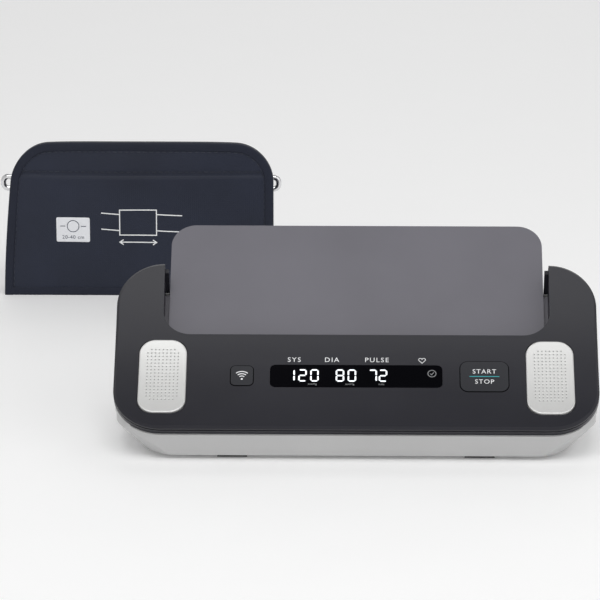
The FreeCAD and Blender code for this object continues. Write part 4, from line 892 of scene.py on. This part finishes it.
@dataclass
class Cuff:
    """Folded cuff: panel, tape, stitching, label, print, loop, sleeve, hook tape, bladder and ring.

    Lengths are in millimetres. A wave of the cloth is its height, then its run across and up for one
    radian. An ink is its underside and top. An arm's end is its place across, then its rise.
    """

    corner: float = 20.0
    foot_corner: float = 2.0
    edge: float = 1.5
    grid_step: float = 1.0
    bend_steps: int = 24
    slack: float = 1.3
    lean: float = 6.5
    lean_power: float = 1.5
    bow: float = 3.0
    bow_power: int = 6
    crown: float = 3.2
    crown_power: int = 4
    hold_power: int = 8
    waves: tuple[tuple[float, float, float], ...] = ((0.45, 17, 31), (0.35, -40, 9), (0.2, 6, -23))

    seam_height: float = 67.8
    seam_depth: float = 0.9
    seam_width: float = 1.3
    seam_rise: float = 1.6
    seam_left: float = -61.0
    seam_right: float = 66.0
    seam_inset: float = 0.6
    stitch: float = 2.4
    stitch_gap: float = 1.1
    thread: float = 0.28
    thread_sides: int = 6

    tape: float = 4.2
    tape_proud: float = 0.9
    tape_reach: float = 0.3
    tape_roundness: float = 0.35
    tape_sides: int = 20
    tape_step: float = 1.5
    foot_tape_start: float = 0.4
    foot_tape_step: float = 2.0

    label_x: float = -35.4
    label_z: float = 37.2
    label_width: float = 18.2
    label_height: float = 13.7
    label_corner: float = 0.8
    label_step: float = 0.6
    label_thick: float = 0.35
    label_edge: float = 0.2
    label_ink: tuple[float, float] = (0.34, 0.4)
    label_words_drop: float = 4.1
    label_cap: float = 2.0
    label_line: float = 0.4
    label_ring: float = 3.2
    label_ring_rise: float = 2.0
    label_bars: tuple[tuple[float, float], ...] = ((-7.0, -4.2), (4.2, 7.0))

    print_line: float = 0.55
    print_ink: tuple[float, float] = (0.05, 0.12)
    arm_rises: tuple[float, float] = (46.0, 37.0)
    arm_left: tuple[float, float] = (-20.0, 0.8)
    arm_right: tuple[float, float] = (24.0, -0.6)
    band_half: float = 10.0
    band_low: float = 34.5
    band_high: float = 48.5
    arrow_up: float = 30.5
    arrow_length: float = 2.0
    arrow_rise: float = 1.4

    loop_depth: float = 21.0
    loop_wall: float = 6.0
    loop_slack: float = 1.5
    loop_inset: float = 1.0
    loop_hem: float = 4.0
    loop_hem_power: float = 0.4
    loop_bend_steps: int = 14
    loop_step: float = 2.5
    loop_columns: int = 72
    ripple: float = 0.25
    ripple_across: float = 11.0
    ripple_up: float = 8.0

    wire: float = 1.6
    wire_sides: int = 24
    ring_bend: float = 2.6
    sleeve_half: float = 60.0
    sleeve_bore: float = 1.95
    sleeve_radius: float = 3.2
    sleeve_sides: int = 32

    patch_corner: float = 6.0
    patch_edge: float = 0.6
    patch_seam: float = 2.0
    bladder_corner: float = 14.0
    bladder_drop: float = 5.0
    bladder_hem: float = 0.3
    bladder_step: float = 1.5

    def __post_init__(self) -> None:
        """Read the panel's place from the CAD solids."""
        low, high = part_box("cuff_flap")
        self.middle: float = (low.x + high.x) / 2 / MM
        self.half: float = (high.x - low.x) / 2 / MM
        self.front: float = low.y / MM
        self.back: float = high.y / MM
        self.top: float = high.z / MM - self.slack
        self.behind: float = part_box("cuff_hook_patch")[0].y / MM

    def build(self) -> None:
        """Make every piece of the cuff."""
        self._panel()
        self._tape()
        self._stitches()
        self._label()
        self._pictogram()
        self._loop()
        self._patch()
        self._bladder()
        self._ring()

    def _shaped(self, x: np.ndarray, z: np.ndarray) -> tuple[np.ndarray, np.ndarray]:
        """Lean the left edge in and bow the top edge.

        Args:
            x: across from the middle.
            z: height.

        Returns:
            The same points, moved.
        """
        rise, reach = np.clip(z / self.top, 0, 1), np.abs(x) / self.half
        leant = x + np.where(x < 0, self.lean * rise ** self.lean_power * reach, 0)
        return leant, z - self.bow * rise ** 2 * reach ** self.bow_power

    def _surface(self, x: np.ndarray, z: np.ndarray) -> np.ndarray:
        """The front cloth's distance in front of the panel's flat.

        Args:
            x: across from the middle.
            z: height.

        Returns:
            Millimetres towards the front.
        """
        share_x, share_z = x / self.half, (z - self.top / 2) / (self.top / 2)
        held = (1 - share_x ** self.hold_power) * (1 - share_z ** self.hold_power)
        crown = self.crown * (1 - share_x ** self.crown_power) * (1 - share_z ** 2)
        waves = sum(height * np.sin(x / across + z / up) for height, across, up in self.waves)
        pinch = self.seam_depth * np.exp(-((z - self.seam_height) / self.seam_width) ** 2)
        return (crown + waves) * held - pinch

    def place(self, points: np.ndarray) -> np.ndarray:
        """Take points from the front panel to the set.

        Args:
            points: across from the middle, up, and proud of the cloth.

        Returns:
            The same points in the set's millimetres.
        """
        x, z, proud = points.T
        return np.stack([self.middle + x, self.front - self._surface(x, z) - proud, z], 1)

    def place_behind(self, points: np.ndarray) -> np.ndarray:
        """Take points from the loop's back, which bends under at its foot, to the set.

        Args:
            points: across from the middle as seen from behind, up, and proud of the cloth.

        Returns:
            The same points in the set's millimetres.
        """
        x, z, proud = points.T
        return np.stack([self.middle - x, self.behind - round_over(z, self.loop_depth / 2) + proud, z], 1)

    def _panel(self) -> None:
        """Make the front panel."""
        x, z, inside = rounded_grid(-self.half, self.half, 0, self.top, self.foot_corner, self.corner,
                                    self.grid_step)
        x, z = self._shaped(x, z)
        drop = round_over(inside, self.edge)
        front = self.front - self._surface(x, z) + drop
        panel = Solid()
        panel.sheet(np.stack([self.middle + x, front, z], -1),
                    np.stack([self.middle + x, self.back - drop, z], -1))
        made = panel.piece("cuff_panel", FINISHES["cuff_cloth"], slot="cuff_cloth", smooth=60)
        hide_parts("cuff_flap")

    def _outline(self, inset: float, step: float, start: float = 0.0) -> np.ndarray:
        """Points up the left side, over the top and down the right side.

        Args:
            inset: distance in from the panel's edge.
            step: distance between points.
            start: height at which the points begin and end.

        Returns:
            Points as across and up.
        """
        radius = self.corner - inset
        left, right, top = -self.half + inset, self.half - inset, self.top - inset
        line = [(left, 0.0), (left, top - radius)]
        line += arc(left + radius, top - radius, radius, 180, 90, self.bend_steps)[1:]
        line += arc(right - radius, top - radius, radius, 90, 0, self.bend_steps)
        line += [(right, 0.0)]
        return np.stack(self._shaped(*spaced(np.array(line), step, start).T), 1)

    def _tape(self) -> None:
        """Make the tape that wraps the panel's sides and top, and the one along its foot."""
        tape = Solid()
        tape.sweep(self._wrapped(self._outline(self.tape / 2, self.tape_step)), closed=False)
        foot = np.arange(-self.half + self.foot_tape_start, self.half, self.foot_tape_step)
        tape.sweep(self._wrapped(np.stack([foot, np.full_like(foot, self.tape / 2)], 1)), closed=False)
        made = tape.piece("cuff_edge_tape", FINISHES["cuff_tape"], slot="cuff_tape", smooth=50)
        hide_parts("cuff_binding")

    def _wrapped(self, line: np.ndarray) -> np.ndarray:
        """Rings of a tape that is folded round the panel's edge.

        Args:
            line: the tape's middle, as across and up.

        Returns:
            Stations by points by 3, in the set's millimetres.
        """
        ahead = directions(line)
        outward = np.stack([-ahead[:, 1], ahead[:, 0]], 1)
        turn = turns(self.tape_sides)
        power = self.tape_roundness
        wide = np.sign(np.cos(turn)) * np.abs(np.cos(turn)) ** power * (self.tape / 2 + self.tape_reach)
        deep = np.sign(np.sin(turn)) * np.abs(np.sin(turn)) ** power
        rings = np.zeros((len(line), len(turn), 3))
        thick = (self.back - self.front) / 2 + self.tape_proud
        rings[..., 0] = self.middle + line[:, None, 0] + outward[:, None, 0] * wide
        rings[..., 2] = np.maximum(0, line[:, None, 1] + outward[:, None, 1] * wide)
        rings[..., 1] = (self.front + self.back) / 2 - deep * thick
        return rings

    def _stitches(self) -> None:
        """Make the thread along the tape's inner edge and across the panel."""
        threads = Solid()
        for point, along in self._seam_points(self.stitch + self.stitch_gap):
            self._stitch(threads, point, along)
        threads.piece("cuff_stitching", THREAD, slot="cuff_tape", place=self.place, smooth=60)

    def _seam_points(self, step: float) -> list[tuple[np.ndarray, np.ndarray]]:
        """Middle and direction of every stitch.

        Args:
            step: distance between stitches.

        Returns:
            Pairs of a point and a unit direction.
        """
        edge = self._outline(self.tape + self.seam_inset, step, self.stitch)
        across = np.arange(self.seam_left, self.seam_right, step)
        cross = np.stack([across, np.full_like(across, self.seam_height + self.seam_rise)], 1)
        return [pair for line in (edge, cross) for pair in zip(line, directions(line))]

    def _stitch(self, threads: Solid, point: np.ndarray, along: np.ndarray, rise: float = 0.05) -> None:
        """Add one stitch, thickest at its middle.

        Args:
            threads: what it is added to.
            point: its middle.
            along: its direction.
            rise: height of the thread's middle.
        """
        side = np.array([-along[1], along[0]])
        rings = []
        for share, girth in STITCH_GIRTHS:
            centre = point + along * self.stitch * share
            rings.append([(*(centre + side * math.cos(t) * self.thread * girth),
                           rise + math.sin(t) * self.thread * girth) for t in turns(self.thread_sides)])
        threads.sweep(np.array(rings), closed=False)

    def _label(self) -> None:
        """Make the sewn label with a size range and a ring between two bars."""
        half_x, half_z = self.label_width / 2, self.label_height / 2
        x, z, inside = rounded_grid(self.label_x - half_x, self.label_x + half_x,
                                    self.label_z - half_z, self.label_z + half_z,
                                    self.label_corner, self.label_corner, self.label_step)
        patch = Solid()
        patch.sheet(np.stack([x, z, self.label_thick - round_over(inside, self.label_edge)], -1),
                    np.stack([x, z, np.full_like(x, -self.label_edge)], -1))
        patch.piece("cuff_label", LABEL_CLOTH, slot="cuff_cloth", place=self.place, smooth=50)
        ink = Solid()
        ink.letters("20-40 cm", self.label_x, self.label_z - self.label_words_drop, self.label_cap,
                    *self.label_ink)
        up = self.label_z + self.label_ring_rise
        pen = (self.label_line, *self.label_ink)
        ink.stroke(circle(self.label_x, up, self.label_ring), *pen, closed=True)
        for first, last in self.label_bars:
            ink.stroke([(self.label_x + first, up), (self.label_x + last, up)], *pen)
        ink.piece("cuff_label_print", LABEL_INK, slot="cuff_cloth", place=self.place)

    def _pictogram(self) -> None:
        """Print a plain arm with a band round it and a double arrow under the band."""
        ink = Solid()
        pen = (self.print_line, *self.print_ink)
        half, neck = self.band_half, self.band_half - self.arrow_length
        for rise in self.arm_rises:
            ink.stroke([(self.arm_left[0], rise + self.arm_left[1]), (-half, rise)], *pen)
            ink.stroke([(half, rise), (self.arm_right[0], rise + self.arm_right[1])], *pen)
        ink.stroke([(-half, self.band_high), (-half, self.band_low), (half, self.band_low),
                    (half, self.band_high)], *pen, closed=True)
        ink.stroke([(-half, self.arrow_up), (half, self.arrow_up)], *pen)
        for side in (-1, 1):
            ink.stroke([(side * neck, self.arrow_up + self.arrow_rise), (side * half, self.arrow_up),
                        (side * neck, self.arrow_up - self.arrow_rise)], *pen)
        ink.piece("cuff_pictogram", WHITE_INK, slot="cuff_cloth", place=self.place)

    def _loop(self) -> None:
        """Make the folded strip behind the panel and the sleeve round the ring's upper bar."""
        low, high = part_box("cuff_fold")
        left, right, top = low.x / MM, high.x / MM, high.z / MM - self.loop_slack * self.slack
        line = self._loop_line(low.y / MM, top)
        outward = outward_of(line)
        across = np.linspace(left + self.loop_inset, right - self.loop_inset, self.loop_columns)
        ends = np.minimum(across - left, right - across)
        half = self.loop_wall / 2 * np.clip(ends / self.loop_hem, 0, 1) ** self.loop_hem_power
        profile = [*zip(across, half), *zip(across[::-1], -half[::-1])]
        rings = np.zeros((len(line), len(profile), 3))
        for j, (x, h) in enumerate(profile):
            ripple = self.ripple * math.sin(x / self.ripple_across) * np.sin(line[:, 1] / self.ripple_up)
            out = h + ripple * np.sign(h)
            height = np.maximum(0, line[:, 1] + outward[:, 1] * out)
            share = abs(x - self.middle) / self.half
            fall = round_over(np.array(min(x - left, right - x)), self.corner)
            fall = fall + self.bow * share ** self.bow_power
            rings[:, j, 0] = x
            rings[:, j, 1] = line[:, 0] + outward[:, 0] * out
            rings[:, j, 2] = height - fall * (height / top) ** 2
        loop = Solid()
        loop.sweep(rings, closed=True)
        made = loop.piece("cuff_strip", FINISHES["cuff_cloth"], slot="cuff_cloth", smooth=60)
        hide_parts("cuff_fold")
        self._sleeve()

    def _loop_line(self, front: float, top: float) -> np.ndarray:
        """The middle of the strip's wall round the loop, seen from the right.

        Args:
            front: the loop's front.
            top: the loop's top.

        Returns:
            Points as depth and height, anticlockwise.
        """
        reach = self.loop_wall / 2
        radius, middle = self.loop_depth / 2 - reach, front + self.loop_depth / 2
        path = arc(middle, radius + reach, radius, 180, 360, self.loop_bend_steps)
        path += arc(middle, top - radius - reach, radius, 0, 180, self.loop_bend_steps)
        dense = []
        for (y0, z0), (y1, z1) in zip(path, path[1:] + path[:1]):
            steps = max(1, round(math.hypot(y1 - y0, z1 - z0) / self.loop_step))
            dense += [(y0 + (y1 - y0) * k / steps, z0 + (z1 - z0) * k / steps) for k in range(steps)]
        return np.array(dense)

    def _sleeve(self) -> None:
        """Make the cloth sleeve that holds the ring's upper bar."""
        low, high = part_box("cuff_ring")
        y, z = (low.y + high.y) / 2 / MM, high.z / MM - self.wire
        left, right = self.middle - self.sleeve_half, self.middle + self.sleeve_half
        rings = []
        for x, radius in ((left, self.sleeve_bore), (left, self.sleeve_radius),
                          (right, self.sleeve_radius), (right, self.sleeve_bore)):
            rings.append([(x, y + radius * math.cos(t), z + radius * math.sin(t))
                          for t in turns(self.sleeve_sides)])
        sleeve = Solid()
        sleeve.sweep(np.array(rings), closed=True)
        sleeve.piece("cuff_ring_sleeve", FINISHES["cuff_tape"], slot="cuff_tape", smooth=40)

    def _patch(self) -> None:
        """Make the hook tape on the loop's back and the thread round its edge."""
        low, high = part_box("cuff_hook_patch")
        half, thick, inset = (high.x - low.x) / 2 / MM, (high.y - low.y) / MM, self.patch_seam
        foot, top = low.z / MM, high.z / MM
        x, z, inside = rounded_grid(-half, half, foot, top, self.patch_corner, self.patch_corner,
                                    self.grid_step)
        patch = Solid()
        patch.sheet(np.stack([x, z, thick - round_over(inside, self.patch_edge)], -1),
                    np.stack([x, z, np.full_like(x, -self.patch_edge)], -1))
        made = patch.piece("cuff_hook_tape", FINISHES["hook_tape"], slot="hook_tape",
                           place=self.place_behind, smooth=50)
        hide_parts("cuff_hook_patch")
        border = rounded_line(0, (foot + top) / 2, 2 * (half - inset), top - foot - 2 * inset,
                              self.patch_corner - inset)
        line = spaced(np.array([*border, border[0]]), self.stitch + self.stitch_gap)
        threads = Solid()
        for point, along in zip(line, directions(line)):
            self._stitch(threads, point, along, thick)
        threads.piece("cuff_patch_stitching", THREAD, slot="cuff_tape", place=self.place_behind, smooth=60)

    def _bladder(self) -> None:
        """Make the air bladder that lies slack in the loop."""
        low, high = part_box("cuff_bladder")
        x, z, inside = rounded_grid(low.x / MM, high.x / MM, low.z / MM, high.z / MM - self.bladder_drop,
                                    self.bladder_corner, self.bladder_corner, self.bladder_step)
        middle, thick = (low.y + high.y) / 2 / MM, (high.y - low.y) / 2 / MM
        swell = np.maximum(self.bladder_hem, thick - round_over(inside, thick))
        bladder = Solid()
        bladder.sheet(np.stack([x, middle - swell, z], -1), np.stack([x, middle + swell, z], -1))
        made = bladder.piece("cuff_air_bladder", FINISHES["bladder"], slot="bladder", smooth=60)
        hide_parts("cuff_bladder")

    def _ring(self) -> None:
        """Make the wire ring, which swings in its sleeve."""
        low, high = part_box("cuff_ring")
        x, y, z = ((a + b) / 2 / MM for a, b in zip(low, high))
        width, height = (high.x - low.x) / MM - 2 * self.wire, (high.z - low.z) / MM - 2 * self.wire
        line = np.array(rounded_line(x, z, width, height, self.ring_bend))
        outward = outward_of(line)
        turn = turns(self.wire_sides)
        rings = np.zeros((len(line), len(turn), 3))
        rings[..., 0] = line[:, None, 0] + outward[:, None, 0] * np.cos(turn) * self.wire
        rings[..., 1] = y + np.sin(turn) * self.wire
        rings[..., 2] = line[:, None, 1] + outward[:, None, 1] * np.cos(turn) * self.wire
        ring = Solid()
        ring.sweep(rings, closed=True)
        made = ring.piece("cuff_wire_ring", FINISHES["ring_metal"], "cuff_ring", "ring_metal", smooth=60)
        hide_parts("cuff_ring")


# ---------------------------------------------------------------- dressing and stage

@dataclass
class CarriedOver:
    """The CAD solids that are shown as they are, each in its own finish."""

    def build(self) -> None:
        """Give every CAD node the finish of its material slot."""
        for part in frame["record"]["subparts"]:
            node = frame["nodes"][part["node"]]
            node.data.materials.clear()
            node.data.materials.append(FINISHES[part["material_slot"]].material())
            LOG.info("%s: finish %s", part["node"], part["material_slot"])


@dataclass
class Studio:
    """Floor, lights, sky and camera.

    The eye is in the set's millimetres. A light is its name, place, side and watts, in metres.
    """

    focal_pixels: float = 3734.4
    image: float = 600.0
    sensor: float = 36.0
    eye: tuple[float, float, float] = (40.95, -1833.35, 518.7)
    pitch: float = 14.8
    yaw: float = 0.896
    floor_half: float = 3.0
    rim_of_sky: tuple[float, float] = (0.55, 1.0)
    sky: tuple[float, float] = (0.62, 0.15)
    aim: tuple[float, float, float] = (0.02, 0.0, 0.04)
    lights: tuple[tuple[str, tuple[float, float, float], float, float], ...] = (
        ("key", (-0.1, -0.95, 1.6), 1.2, 14),
        ("fill", (1.1, -0.9, 0.8), 1.4, 4),
        ("back", (0.2, 1.5, 1.2), 1.4, 4))

    def build(self) -> None:
        """Make the stage."""
        self._floor()
        self._camera()
        for light in self.lights:
            self._light(*light)
        self._sky()

    def _sky(self) -> None:
        """Make a white sky that is darker overhead."""
        world = bpy.data.worlds.new("studio")
        world.use_nodes = True
        nodes, links = world.node_tree.nodes, world.node_tree.links
        back = next(n for n in nodes if n.type == "BACKGROUND")
        ramp = nodes.new("ShaderNodeMapRange")
        split = nodes.new("ShaderNodeSeparateXYZ")
        ramp.inputs["From Min"].default_value, ramp.inputs["From Max"].default_value = self.rim_of_sky
        ramp.inputs["To Min"].default_value, ramp.inputs["To Max"].default_value = self.sky
        links.new(nodes.new("ShaderNodeTexCoord").outputs["Generated"], split.inputs["Vector"])
        links.new(split.outputs["Z"], ramp.inputs["Value"])
        links.new(ramp.outputs["Result"], back.inputs["Strength"])
        back.inputs["Color"].default_value = (1, 1, 1, 1)
        bpy.context.scene.world = world
        bpy.context.scene.view_settings.view_transform = "Standard"

    def _floor(self) -> None:
        """Make the floor."""
        half = self.floor_half
        mesh = bpy.data.meshes.new("floor")
        corners = [(-half, -half, 0), (half, -half, 0), (half, half, 0), (-half, half, 0)]
        mesh.from_pydata(corners, [], [(0, 1, 2, 3)])
        mesh.materials.append(FLOOR.material())
        floor = bpy.data.objects.new("floor", mesh)
        bpy.context.scene.collection.objects.link(floor)

    def _camera(self) -> None:
        """Stand the camera where the view was worked out."""
        data = bpy.data.cameras.new("camera")
        data.sensor_width = self.sensor
        data.lens = self.focal_pixels / self.image * self.sensor
        camera = bpy.data.objects.new("camera", data)
        camera.location = Vector(self.eye) * MM
        camera.rotation_euler = (math.radians(90 - self.pitch), 0, math.radians(self.yaw))
        bpy.context.scene.collection.objects.link(camera)
        bpy.context.scene.camera = camera

    def _light(self, name: str, at: tuple[float, float, float], size: float, power: float) -> None:
        """Add one soft light that looks at the set.

        Args:
            name: the light's name.
            at: where it hangs, in metres.
            size: its side, in metres.
            power: watts.
        """
        data = bpy.data.lights.new(name, "AREA")
        data.shape, data.size, data.energy = "SQUARE", size, power
        lamp = bpy.data.objects.new(name, data)
        lamp.location = at
        lamp.rotation_euler = (Vector(self.aim) - Vector(at)).to_track_quat("-Z", "Y").to_euler()
        bpy.context.scene.collection.objects.link(lamp)


def main() -> None:
    """Build every sub-assembly, then the stage."""
    logging.basicConfig(level=logging.INFO, format="%(message)s")
    face = FaceFrame()
    for assembly in (CarriedOver(), Electrodes(face), Readout(face), ButtonMarks(face), Cuff(), Studio()):
        assembly.build()
    bpy.context.view_layer.update()


if __name__ == "__main__":
    main()
